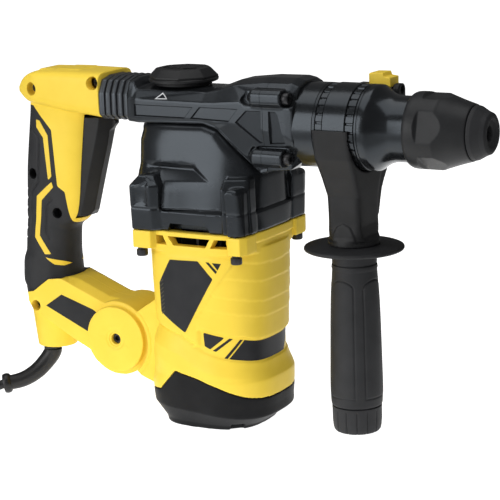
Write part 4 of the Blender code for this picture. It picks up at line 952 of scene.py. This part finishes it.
def pocket(poly, sy, depth, flare=0.7):
    """A shallow recess in the side of the barrel, with sloping walls."""
    inner, outer = grown(poly, -0.1), grown(poly, flare)
    low = [(x, sy * (barrel_side(x, z) - depth), z) for x, z in inner]
    at = [(x, sy * (barrel_side(x, z) + 0.05), z) for x, z in outer]
    far = [(x, sy * (barrel_side(x, z) + 8.0), z) for x, z in outer]
    return skin("panel", [low, at, far])


for sy in (-1, 1):
    for poly in PANELS:
        cut(barrel, pocket(poly, sy, 1.5))
cut(barrel, block("front", (56.0, -70, 150), (90, 70, 300)))
barrel_tree = tree_of(barrel)
cut(barrel, turned("gear_room", [(0, 24), (26.2, 24), (26.2, 84), (0, 84)], "X", (0, 0, AX), 48))
cut(barrel, block("crank_room", (-42, -20, 200), (27, 20, 245)))
for y, z in SCREW_AT:
    cut(barrel, turned("barrel_hole", [(0, 45.5), (2.6, 45.5), (2.6, 85), (0, 85)], "X", (0, y, z), 20))
cut(barrel, turned("selector_hole", [(0, 230), (7.3, 230), (7.3, 270), (0, 270)], "Z", (KNOB_X, 0, 0), 40))
piece(barrel, "barrel_housing_shell", "main", PAINT, ("barrel_housing",))

tip, left, right = (-30.6, 249.0), (-36.4, 244.3), (-25.4, 244.6)
frame_lines = [[left, tip, (tip[0] + 0.2, tip[1] - 1.0), (left[0] + 1.5, left[1] + 0.5)],
               [left, (left[0] + 1.5, left[1] + 0.5), (right[0] - 1.1, right[1] + 0.5), right],
               [right, (right[0] - 1.1, right[1] + 0.5), (tip[0] + 0.2, tip[1] - 1.0), tip]]
piece(inlay("pointer", frame_lines, barrel_tree, side_ray, 1.5, 0.3, 0.5), "knob_pointer", "main", WHITE)

# ---------------------------------------------------------------- nose
def tooth_slots(r, h, t):
    rr = np.full(len(t), float(r))
    if 97.9 < h < 102.5 or 121.3 < h < 126.7:
        phase = (t * 31 / (2 * np.pi)) % 1.0
        rr = rr - 0.9 * (np.abs(phase - 0.5) < 0.085)
    return rr


nose_profile = [(24.3, 75.0), (30.6, 75.0), (30.6, 94.6), (30.2, 95.0), (30.2, 95.8), (30.6, 96.2), (30.6, 96.9), (29.7, 97.2), (29.7, 97.7), (30.5, 97.9),
                (30.5, 98.0), (30.5, 102.4), (30.5, 102.5), (30.3, 102.6), (29.0, 102.7), (29.0, 120.8), (30.3, 120.9), (30.5, 121.2), (30.5, 121.4), (30.5, 126.6),
                (30.5, 126.8), (29.6, 127.0), (29.6, 127.6), (30.6, 127.9), (30.6, 129.0), (30.1, 129.3), (30.1, 129.9), (30.6, 130.3), (30.6, 134.0),
                (30.2, 135.2), (29.2, 136.4), (27.6, 138.6), (25.8, 141.6), (24.6, 144.4), (23.8, 147.2), (23.4, 150.4), (23.3, 167.4), (22.9, 168.0),
                (17.2, 168.0), (17.2, 124.0), (24.3, 124.0)]
nose = turned("nose", nose_profile, "X", (0, 0, AX), 372, True, tooth_slots)
front = skin("nose_block", [barrel_ring(s) for s in NOSE_BLOCK])
join(front, skin("rear_part", [barrel_ring((48.0,) + BARREL[-1][1:]), barrel_ring(NOSE_BLOCK[0])]))
front_details(front, 50.0, 82.0)
soften(front, 0.62, 4)
thin(front, 0.42, 2)
for sy in (-1, 1):
    cut(front, pocket([(61.6, 239.4), (66.2, 239.4), (68.0, 237.4), (72.4, 218.0), (61.6, 217.2)], sy, 1.5))
cut(front, block("nose_back", (20, -70, 150), (56.3, 70, 300)))
for y, z in SCREW_AT:
    cut(front, turned("clearance", [(0, 72.0), (5.0, 72.0), (5.0, 92), (0, 92)], "X", (0, y, z), 32))
    cut(front, turned("nose_hole", [(0, 50), (2.7, 50), (2.7, 80), (0, 80)], "X", (0, y, z), 20))
cut(front, turned("nose_bore", [(0, 40), (28.0, 40), (28.0, 102), (0, 102)], "X", (0, 0, AX), 64))
piece(front, "nose_block_shell", "main", PAINT, ("nose_housing",))
cut(nose, block("nose_start", (20, -70, 150), (56.3, 70, 300)))
piece(nose, "nose_barrel", "main", GLOSS, (), 30)

for k, (y, z) in enumerate(SCREW_AT, 1):
    screw = turned("screw", [(0, 46.5), (2.3, 46.5), (2.3, 72.3), (4.1, 72.3), (4.25, 72.8), (4.25, 76.2), (3.8, 76.8), (0, 76.8)], "X", (0, y, z), 36)
    cut(screw, prism("hex", [(y + 2.1 * math.cos(a), z + 2.1 * math.sin(a)) for a in np.radians(np.arange(0, 360, 60))], 74.2, 79, "X"))
    piece(screw, f"nose_screw_{k}_socket", "main", BLACK_STEEL, (f"nose_screw_{k}",))

# ---------------------------------------------------------------- bellows
half_shape = [(18.0, 227.0), (23.0, 230.5), (23.0, 246.0), (18.5, 255.0), (8.0, 257.5)]
gaiter_shape = np.array([(-y, z) for y, z in half_shape] + [(y, z) for y, z in half_shape[::-1]])
gaiter_mid = np.array([0.0, 241.5])
rings = []
for k in range(127):
    f = k / 126
    x = -87.6 + 25.2 * f
    groove = max(math.exp(-((x - at) / 0.62) ** 4) for at in (-82.4, -77.2, -72.0, -66.4))
    g = 0.7 + 0.2 * math.sin((x + 87.6) * 1.1) - 2.3 * groove
    shape = rounded(grown(gaiter_shape, g), 2.6, 4)
    rings.append([(x, y, z) for y, z in shape])
gaiter = skin("gaiter", rings)
cut(gaiter, block("gaiter_bore", (-100, -16, 232), (-50, 16, 250)))
piece(gaiter, "bellows_ribs", None, GAITER, ("bellows",), 45)
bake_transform(gaiter)

# ---------------------------------------------------------------- mode knob
def facets(r, h, t):
    """Eight-sided upper part that runs into a round base."""
    k = float(ease((h - 257.8) / 0.8))
    step = math.pi / 4
    flat = math.cos(math.pi / 8) / np.cos((t + math.pi / 8) % step - math.pi / 8)
    flat = flat / flat.max()
    return r * (1 - k) + r * k * (0.35 + 0.65 * flat) * 1.02


knob = turned("knob", [(0, 242.0), (7.0, 242.0), (7.0, 252.4), (20.4, 252.4), (21.0, 252.8), (21.2, 254.2), (24.4, 254.8), (25.6, 255.3), (26.0, 256.0), (26.0, 257.2),
                       (25.4, 257.8), (24.9, 257.9), (24.9, 258.3), (25.5, 258.6), (25.3, 259.4), (24.4, 260.2), (20.6, 264.2), (19.8, 264.8), (18.8, 265.0), (15.2, 265.0), (14.6, 264.2),
                       (13.4, 264.0), (0, 264.0)], "Z", (KNOB_X, 0, 0), 192, False, facets)
arrow = rounded([(-12.2, -2.6), (3.5, -2.6), (3.5, -6.4), (11.8, 0), (3.5, 6.4), (3.5, 2.6), (-12.2, 2.6)], 0.7, 3)
join(knob, prism("arrow", [(KNOB_X + x, y) for x, y in arrow], 263.0, 264.95, "Z"))
piece(knob, "mode_knob_grip", "mode_knob", DARK, ("mode_knob",), 24)

# ---------------------------------------------------------------- rear handle
GRIP = ((244.0, -134.5, 27.5, 19.0, 2.6), (232.0, -134.8, 28.3, 18.5, 2.7), (219.0, -136.4, 28.4, 17.5, 2.8), (187.0, -140.5, 28.5, 17.5, 2.8),
        (152.0, -144.2, 27.7, 17.5, 2.7), (144.0, -146.5, 26.0, 17.5, 2.5), (137.0, -151.0, 22.0, 18.0, 2.3), (120.0, -152.5, 22.0, 18.5, 2.3),
        (106.0, -153.4, 22.6, 20.0, 2.4), (96.0, -153.4, 22.6, 20.5, 2.5), (79.0, -152.4, 21.9, 20.3, 2.5), (69.0, -153.0, 16.5, 16.5, 2.2))
ARM_TOP = ((-166, 86.0), (-160, 87.3), (-144.5, 98.3), (-134, 99.5))
HEAD = ((-88.0, 226.4, 261.0, 24.0), (-120.0, 230.0, 261.4, 24.0), (-148.0, 234.2, 260.2, 22.5), (-158.0, 235.4, 257.6, 19.0), (-164.0, 238.8, 253.6, 16.2), (-168.6, 242.4, 247.4, 13.4))


def grip_loft(name, inset, z0=69.0, z1=244.0, count=72, step=2.0):
    zs = np.linspace(z0, z1, int(round((z1 - z0) / step)) + 1)
    rows = flow(GRIP, zs)
    return skin(name, [flat_ring(z, a - inset, b - inset, q, count, cx) for z, (cx, a, b, q) in zip(zs, rows)])


def overmold_zone(name, offset, drop):
    edge = [(-154, 233), (-150.5, 229.5), (-137.5, 214.7), (-134.7, 171.3), (-128.5, 167), (-125.5, 143.0), (-122.5, 140.4), (-100, 140.4)]
    edge = rounded(edge, 3.0, 4, False)
    edge = [(x + (offset if z > 141 else 0), z + (0 if z > 141 else offset)) for x, z in edge]
    bottom = [(-100, 100 - drop)] + [(x, z - drop) for x, z in ARM_TOP[::-1]] + [(-195, 78.5 - drop)]
    return prism(name, edge + bottom + [(-195, 233)], -40, 40)


SCREWS = ((-151.5, 246.5, -22.0), (-93.4, 253.2, -24.0), (-158.5, 179.5, -15.5), (-136.0, 150.0, -17.5), (-158.4, 75.2, -21.0))
handle = grip_loft("handle", 0)
head_x = np.linspace(-88.0, -168.6, 62)
head_rows = flow([(-r[0],) + r[1:] for r in HEAD], -head_x)
head_rings = []
for x, (zb, zt, w) in zip(head_x, head_rows):
    s = squircle(w, (zt - zb) / 2, 5.6, 72)
    head_rings.append(np.stack([np.full(72, x), s[:, 0], s[:, 1] + (zb + zt) / 2], 1))
join(handle, skin("head", head_rings))
for x0, x1, z in ((-148.5, -133.5, 261.3), (-131.5, -112.0, 261.9)):
    join(handle, prism("pad", [(x0 - 2.5, z - 4), (x0, z), (x1, z + 0.2), (x1 + 1.6, z - 4)], -12.5, 12.5))
arm = list(ARM_TOP) + [(-94, 83.5), (-82, 82.2), (-82, 33), (-97, 36), (-104.5, 42.8), (-124.8, 52.3), (-156.5, 69.4), (-161, 70.8), (-165.5, 78.4)]
join(handle, prism("arm", arm, -21, 21))
crown = []
for x in (-140.0, -132.0, -126.0, -120.0, -114.0, -106.0, -94.0, -83.0):
    z, up = float(np.interp(x, (-144.5, -134, -94, -82), (98.3, 99.5, 83.5, 82.2))) - 0.2, 3.8 * float(ease((x + 136) / 16))
    crown.append([(x, -20.8, z - 20), (x, 20.8, z - 20), (x, 20.8, z), (x, 12.5, z + up), (x, -12.5, z + up), (x, -20.8, z)])
join(handle, skin("arm_crown", crown))
join(handle, turned("arm_end", [(0, -21), (28.9, -21), (28.9, 21), (0, 21)], "Y", (PIVOT[0], 0, PIVOT[1]), 96))
join(handle, turned("disc", [(0, -26), (25.5, -26), (25.5, 26), (0, 26)], "Y", (PIVOT[0], 0, PIVOT[1]), 96))
join(handle, turned("cord_boss", [(0, 40.5), (15.5, 40.5), (19.0, 74.5), (0, 74.5)], "Z", (-154, 0, 0), 72))
soften(handle, 0.7, 7)
p, n = points_of(handle), normals_of(handle)
reach = np.hypot(p[:, 0] - PIVOT[0], p[:, 2] - PIVOT[1])
flat_side = (abs(n[:, 1]) > 0.7) & (abs(p[:, 1]) > 22)
lift = np.where(flat_side, 0.0, 0.0)
lift = lift - np.where(flat_side & (reach < 26), 0.8 * ease((8.6 - reach) / 1.2), 0)
# moulded lines on the rubber: outline beside the stripes, facets of the lower collar, ribs at the back
side_line = [(-160.5, 216.5), (-150.0, 207.5), (-153.2, 173.0), (-162.0, 163.5), (-163.6, 129.5), (-167.5, 123.5)]
inner_line = [(-141.0, 160.0), (-146.2, 155.5), (-147.2, 134.0), (-144.0, 129.0)]
near = abs(n[:, 1]) > 0.25
for line, deep, wide in ((side_line, 1.0, 0.8), (inner_line, 0.8, 0.8)):
    lift = lift - np.where(near, deep * np.exp(-(along(line, p[:, 0], p[:, 2]) / wide) ** 2), 0)
behind = (n[:, 0] < -0.55) & (p[:, 2] > 127) & (p[:, 2] < 167)
lift = lift - np.where(behind, 0.55 * (0.5 + 0.5 * np.cos(2 * np.pi * (p[:, 2] - 127) / 8.0)) ** 6, 0)
collar = ease((p[:, 2] - 88) / 6) * ease((118 - p[:, 2]) / 8) * ease((-137 - p[:, 0]) / 8)
lift = lift + collar * 1.0
p = p + n * lift[:, None]
set_points(handle, p)
thin(handle, 0.40)
handle_tree = tree_of(handle)

TRIGGER_SLOT = [(-70, 145.6), (-70, 227.2), (-127.2, 227.2), (-128.2, 213.0), (-135.0, 145.6)]
LUG_SLOT = arc(PIVOT[0], PIVOT[1], 14.8, 90, 270, 24) + [(-40, PIVOT[1] - 14.8), (-40, PIVOT[1] + 14.8)]
holes = None
for x, z, y in SCREWS:
    wide = 5.1 if z > 240 else 4.2
    hole = turned("hole", [(0, -45), (wide + 0.4, -45), (wide + 0.4, y - 1.0), (wide, y + 0.6), (wide, y + 9.2), (1.9, y + 9.2), (1.9, 12), (0, 12)], "Y", (x, 0, z), 32)
    holes = hole if holes is None else join(holes, hole)

overmold = copy(handle, "overmold")
keep(overmold, overmold_zone("cover_outline", 0.0, 0.3))
cut(overmold, grip_loft("cover_core", 2.5, count=40, step=6.0))
combine(overmold, holes, "DIFFERENCE", True)
clear = []
for x, (zb, zt, w) in zip(head_x[::4], head_rows[::4]):
    s = squircle(w + 0.2, (zt - zb) / 2 + 0.2, 5.6, 40)
    clear.append(np.stack([np.full(40, x), s[:, 0], s[:, 1] + (zb + zt) / 2], 1))
cut(overmold, skin("head_clear", clear), prism("trigger_slot", TRIGGER_SLOT, -11.3, 11.3))
overmold_tree = tree_of(overmold)
piece(overmold, "grip_rubber", "rear_handle", RUBBER, ("grip_overmold",))

cover = overmold_zone("cover_zone", 0.15, 0.6)
cut(cover, grip_loft("core", 2.8, count=40, step=6.0))
cut(handle, cover)
cut(handle, grip_loft("grip_room", 6.2, 80, 240, 40, 8.0), block("head_room", (-145.5, -16.4, 237), (-94, 16.4, 256)),
    block("arm_room", (-160, -15, 74.5), (-112, 15, 86)),
    turned("cord_hole", [(0, 30), (7.6, 30), (7.6, 41.6), (3.9, 41.6), (3.9, 78), (0, 78)], "Z", (-158, -1, 0), 32),
    prism("trigger_slot", TRIGGER_SLOT, -11.3, 11.3), prism("lug_slot", LUG_SLOT, -9.2, 9.2),
    turned("pivot_hole", [(0, -40), (5.8, -40), (5.8, -25.2), (5.4, -24.6), (4.3, -24.4), (4.25, -22), (4.25, 22), (4.3, 24.4), (5.4, 24.6), (5.8, 25.2), (5.8, 40), (0, 40)],
           "Y", (PIVOT[0], 0, PIVOT[1]), 48))
combine(handle, holes, "DIFFERENCE")
other = copy(handle, "other_half")
keep(handle, block("right_side", (-220, -60, 0), (-30, -0.12, 300)))
keep(other, block("left_side", (-220, 0.12, 0), (-30, 60, 300)))
piece(handle, "handle_half_right", "rear_handle", YELLOW, ("handle_shell_right",))
piece(other, "handle_half_left", "rear_handle", YELLOW, ("handle_shell_left",))

STRIPE_1 = [(-151.6, 222.3), (-148.2, 221.6), (-140.9, 210.5), (-139.4, 178.6), (-142.6, 175.6), (-145.4, 208.6), (-151.9, 216.6)]
STRIPE_2 = [(-139.6, 174.4), (-138.4, 170.2), (-149.9, 159.3), (-152.9, 131.3), (-143.4, 117.0), (-148.6, 116.8), (-157.6, 129.6), (-154.6, 162.2)]
STRIPE_3 = [(-76, 114.4), (-58, 113.2), (-38, 111.6), (-18, 109.2), (-36, 107.9), (-56, 109.0)]


def far_ray(u, v):
    return (u, 80, v), (0, -1, 0)


def round_grip(sign):
    def ray(u, v):
        a = math.radians(u)
        way = Vector((math.cos(a), sign * math.sin(a), 0))
        start = Vector((-152.5, 0, v)) + way * 80
        return start, -way
    return ray


for side, ray, sign in (("right", side_ray, 1), ("left", far_ray, -1)):
    for k, poly in enumerate((STRIPE_1, STRIPE_2), 1):
        piece(inlay("stripe", [rounded(poly, 0.6, 2)], overmold_tree, ray, 2.0, 0.22, 0.8), f"grip_stripe_{side}_{k}", "rear_handle", INLAY)
    piece(inlay("stripe", [STRIPE_3], overmold_tree, round_grip(sign), 2.5, 0.22, 0.8), f"grip_stripe_{side}_3", "rear_handle", INLAY)
plate = [tuple(q) for q in rounded([(-148.5, 76.2), (-133.4, 86.4), (-104.4, 77.3)], 1.0, 3, False)] + [tuple(q) for q in arc(PIVOT[0], PIVOT[1], 26.4, 136.5, 176.5, 8)]
piece(inlay("plate", [plate], handle_tree, side_ray, 3.0), "arm_plate", "rear_handle", LABEL)

star = []
for k in range(12):
    r = 1.75 if k % 2 == 0 else 1.2
    star.append((r * math.cos(k * math.pi / 6), r * math.sin(k * math.pi / 6)))
for k, (x, z, y) in enumerate(SCREWS, 1):
    head = [(4.1, y + 9.0), (4.1, y + 1.6), (3.8, y + 1.3), (3.7, y + 8.2), (3.2, y + 7.8), (0, y + 7.7)] if k in (3, 4) else \
        [(3.6, y + 9.0), (3.6, y + 8.0), (3.0, y + 7.2), (0, y + 7.0)]
    screw = turned("screw", [(0, 11.6), (1.55, 11.6), (1.55, y + 9.0)] + head, "Y", (x, 0, z), 32)
    cut(screw, prism("drive", [(x + u, z + v) for u, v in star], y - 4.0, y + 8.5))
    piece(screw, f"handle_screw_{k}_star", "rear_handle", BLACK_STEEL, (f"handle_screw_{k}",))
bolt = turned("pivot", [(0, 23.0), (3.6, 23.0), (4.0, 22.6), (4.0, -21.6), (3.6, -22.0), (0, -22.2)], "Y",
              (PIVOT[0], 0, PIVOT[1]), 40)
cut(bolt, prism("hex", [(PIVOT[0] + 2.4 * math.cos(a), PIVOT[1] + 2.4 * math.sin(a)) for a in np.radians(np.arange(0, 360, 60))], -30, -19.6))
record_bodies = {"pivot_bolt": "rear_handle", "clamp_band": "yoke", "grip_end_cap": "side_grip", "chuck_nose_cap": "spindle"}
piece(bolt, "pivot_bolt_socket", record_bodies["pivot_bolt"], BLACK_STEEL, ("pivot_bolt",))

trigger = prism("trigger", rounded([(-120.0, 224.6), (-93.5, 225.2), (-87.6, 222.8), (-87.6, 220.2), (-92.8, 214.6), (-95.6, 203.0), (-102.6, 179.5),
                                    (-110.4, 151.5), (-113.6, 147.6), (-124.0, 147.0)], 1.2, 3), -10.8, 10.8)
TRIGGER_EDGE = ((140.0, -121.0), (148.0, -118.7), (203.6, -102.8), (212.3, -100.3), (216.5, -99.2), (221.0, -98.2), (230.0, -96.6))
for sy in (-1, 1):
    cut(trigger, skin("edge", [[(x + 8.4, sy * 2.6, z), (x + 30, sy * 2.0, z), (x + 30, sy * 20, z), (x - 2, sy * 20, z), (x, sy * 10.95, z)] for z, x in TRIGGER_EDGE]))
soften(trigger, 0.45, 5, 0.4)
piece(trigger, "trigger_lever", "trigger", DARK, ("trigger",))

# ---------------------------------------------------------------- side handle
YOKE = ((229.0, 109.7, 14.9, 33.6, 14.0), (208.0, 109.8, 14.8, 29.5, 14.0), (194.0, 110.6, 14.0, 22.8, 12.0), (179.4, SIDE_X, 13.2, 17.4, 9.0),
        (172.0, SIDE_X, 13.1, 17.2, 8.0), (158.0, SIDE_X, 13.1, 16.9, 8.0), (149.5, SIDE_X, 14.4, 17.4, 4.0), (146.5, SIDE_X, 18.6, 18.6, 2.0),
        (143.0, SIDE_X, 19.0, 19.0, 2.0))
yoke_z = np.concatenate([np.linspace(229, 150, 60), np.linspace(149.5, 143, 12)])
yoke_rows = np.stack([np.interp(yoke_z, [r[0] for r in YOKE[::-1]], [r[k] for r in YOKE[::-1]]) for k in (1, 2, 3, 4)], 1)
yoke = skin("yoke", [flat_ring(z, a, b, q, 96, cx) for z, (cx, a, b, q) in zip(yoke_z, yoke_rows)])
join(yoke, prism("far_arm", arc(0, AX, 31.4, -8, 40, 24) + arc(0, AX, 37.5, 40, -8, 24), 97.0, 119.4, "X"))
far_web = [(8, 160), (16.2, 163), (18.4, 172), (21.0, 180), (26, 187.5), (32.5, 195.5), (36.5, 204), (37.4, 215), (37.4, 226), (30, 226), (20, 200)]
join(yoke, prism("far_web", far_web, 98.2, 124.0, "X"))
join(yoke, prism("stop_block", [(31.0 + u, 248.4 + v) for u, v in squircle(5.8, 6.6, 3.4, 48)], 104.0, 136.4, "X"))
cut(yoke, block("wall_slot", (128.2, 20, 248.9), (131.4, 42, 270)), block("rail_near", (112.6, 20, 248.9), (131.0, 25.3, 270)),
    block("rail_far", (112.6, 36.7, 248.9), (131.0, 43, 270)))
cut(yoke, turned("saddle", [(0, 60), (31.55, 60), (31.55, 160), (0, 160)], "X", (0, 0, AX), 120))
soften(yoke, 0.62, 3)
p, n = points_of(yoke), normals_of(yoke)
for sy in (-1, 1):
    face = (n[:, 1] * sy > 0.35) & (p[:, 1] * sy > 8)
    arch = rounded([(100.5, 140), (102.5, 150), (106.0, 157.5), (111.3, 160.2), (116.6, 157.5), (120.2, 150), (122.2, 140)], 3.0, 3)
    d = apart(arch, p[:, 0], p[:, 2])
    p[:, 1] -= sy * np.where(face & (d > -0.4), 0.9 * ease((d + 0.4) / 0.9) * ease((172 - p[:, 2]) / 14) * (p[:, 2] > 146), 0)
set_points(yoke, p)
thin(yoke, 0.42)
cut(yoke, turned("rod_hole", [(0, 80), (3.2, 80), (3.2, 170), (0, 170)], "X", (0, 31.5, 250.5), 32))
cut(yoke, turned("bolt_way", [(0, 130), (4.4, 130), (4.4, 192), (0, 192)], "Z", (SIDE_X, 0, 0), 32))
piece(yoke, "yoke_shell", "yoke", DARK, ("handle_yoke",))

band = turned("band", [(29.3, 103.0), (30.7, 103.0), (31.0, 103.4), (31.0, 120.1), (30.7, 120.5), (29.3, 120.5)], "X", (0, 0, AX), 144, True)
piece(band, "clamp_strap", record_bodies["clamp_band"], GLOSS, ("clamp_band",), 30)

button = prism("button", rounded([(113.6, 252.6), (130.4, 252.6), (130.4, 259.6), (125.4, 260.2), (124.4, 263.0), (114.6, 262.8), (113.6, 262.0)], 0.5, 2), 23.8, 38.2)
cut(button, block("button_channel", (100, 25.0, 240), (128.9, 37.0, 258.4)), turned("rod_way", [(0, 120), (3.4, 120), (3.4, 140), (0, 140)], "X", (0, 31.5, 250.5), 24))
soften(button, 0.3, 3, 0.4)
piece(button, "depth_button_cap", "depth_button", YELLOW, ("depth_stop_button",))

GRIP_ROWS = ((23.4, 18.4), (26.0, 18.8), (36.0, 19.1), (60.0, 18.7), (100.0, 17.7), (124.0, 16.3))


def grip_panels(r, h, t):
    rr = np.full(len(t), float(r))
    if 24 < h < 125:
        for turn in (-100, -10, 80, 170):
            a = (np.degrees(t) - turn + 180) % 360 - 180
            u = np.radians(a) * 18.0
            top = 118.0 - 0.06 * u * u
            wide = 10.4
            d = np.maximum(np.abs(u) - wide, np.maximum(h - (112.0 + 6 * np.sqrt(np.clip(1 - (u / wide) ** 2, 0, 1))), 31.0 - h))
            rr = rr - 0.55 * np.exp(-(d / 0.55) ** 2) + 0.30 * ease(-d / 1.0)
    return rr


grip_profile = [(0, 42.0), (4.4, 42.0), (4.4, 142.7), (19.3, 142.7), (22.0, 142.3), (34.8, 141.6), (35.8, 141.2), (36.2, 140.5), (36.2, 139.7), (35.8, 139.0),
                (34.8, 138.5), (20.0, 137.6), (17.6, 137.0), (16.5, 136.0), (16.3, 135.0), (16.2, 129.2), (15.5, 128.9), (15.5, 128.3), (16.4, 128.0), (16.7, 126.0)]
zs = np.linspace(124.5, 24.4, 190)
grip_profile += [(float(r), float(z)) for z, r in zip(zs, flow(GRIP_ROWS, zs)[:, 0])] + [(17.9, 23.5), (0, 23.4)]
side_grip = turned("side_grip", grip_profile[::-1], "Z", (SIDE_X, 0, 0), 224, False, grip_panels)
piece(side_grip, "side_grip_rubber", "side_grip", RUBBER, ("side_grip",), 60)


def cap_ribs(r, h, t):
    rr = np.full(len(t), float(r))
    if r > 12 and h < 20.5:
        phase = (t * 14 / (2 * np.pi)) % 1.0
        rr = rr - 0.7 * np.exp(-((phase - 0.5) / 0.055) ** 2)
    return rr


end_cap = turned("end_cap", [(0, 23.1), (17.6, 23.1), (18.2, 22.6), (18.2, 21.0), (18.1, 20.0), (18.0, 12.0), (17.6, 7.4), (17.0, 5.0), (16.2, 4.0), (15.2, 3.6), (9.0, 3.6),
                             (8.4, 4.4), (0, 4.4)], "Z", (SIDE_X, 0, 0), 224, False, cap_ribs)
piece(end_cap, "side_grip_end", record_bodies["grip_end_cap"], RUBBER, ("grip_end_cap",), 40)

# ---------------------------------------------------------------- chuck
def dents(r, h, t):
    rr = np.full(len(t), float(r))
    if 163 < h < 196 and r > 20:
        flat = 24.75 + 2.6 * float(ease((172.6 - h) / 3.0))
        for k in range(5):
            a = np.radians((np.degrees(t) - 166 - 72 * k + 180) % 360 - 180)
            rr = np.where(abs(a) < 0.9, np.minimum(rr, flat / np.cos(np.clip(a, -0.9, 0.9))), rr)
    return rr


outer = [(13.6, 205.7), (19.3, 205.7), (19.8, 205.4)]
sleeve_rows = ((161.0, 25.4), (162.2, 26.3), (164.0, 26.9), (167.0, 27.1), (183.0, 27.1), (186.0, 26.1), (196.0, 22.7), (205.3, 19.9))
xs = np.linspace(205.2, 161.6, 90)
outer += [(float(r), float(x)) for x, r in zip(xs, flow(sleeve_rows, xs)[:, 0])]
outer += [(24.6, 161.0), (23.3, 161.0), (23.3, 187.2), (20.0, 187.2), (18.5, 191.0), (16.6, 193.0), (16.6, 201.3), (13.6, 201.3)]
sleeve = turned("sleeve", outer, "X", (0, 0, AX), 192, True, dents)
piece(sleeve, "chuck_sleeve_grip", "sleeve", SLEEVE, ("chuck_sleeve",), 50)
cap_profile = rounded([(13.3, 206.0), (19.4, 206.0), (18.7, 209.0), (15.6, 214.4), (14.4, 217.4), (12.6, 218.5), (10.6, 218.5), (9.0, 216.9), (5.4, 216.2), (5.4, 208.3),
                       (13.3, 208.3)], 0.8, 4)
nose_cap = turned("nose_cap", [tuple(q) for q in cap_profile], "X", (0, 0, AX), 128, True)
piece(nose_cap, "chuck_dust_cap", record_bodies["chuck_nose_cap"], RUBBER, ("chuck_nose_cap",), 50)

# ---------------------------------------------------------------- pieces that keep their plain shape
KEPT = {"trigger_switch": DARK, "clamp_bolt": STEEL, "spindle": STEEL, "locking_ball": STEEL, "spindle_bearing": STEEL, "sleeve_spring": STEEL,
        "striker": STEEL, "beat_piece": STEEL, "piston": PISTON, "connecting_rod": STEEL, "crank_gear": STEEL, "bevel_pinion": STEEL,
        "spindle_bevel_gear": STEEL, "armature_shaft": STEEL, "armature_core": CORE, "commutator": COPPER, "stator": CORE, "cooling_fan": DARK,
        "upper_motor_bearing": STEEL, "lower_motor_bearing": STEEL, "brush_right": CARBON, "brush_left": CARBON}
for name, mat in KEPT.items():
    ob = frame["nodes"][name]
    if not ob.material_slots:
        ob.data.materials.append(mat)
    for place in ob.material_slots:
        place.material = mat

LOOSE = [o.name for o in WORK.objects if o.type == "MESH" and len(o.data.vertices) == 0]
print("empty meshes", LOOSE)
bpy.context.view_layer.update()
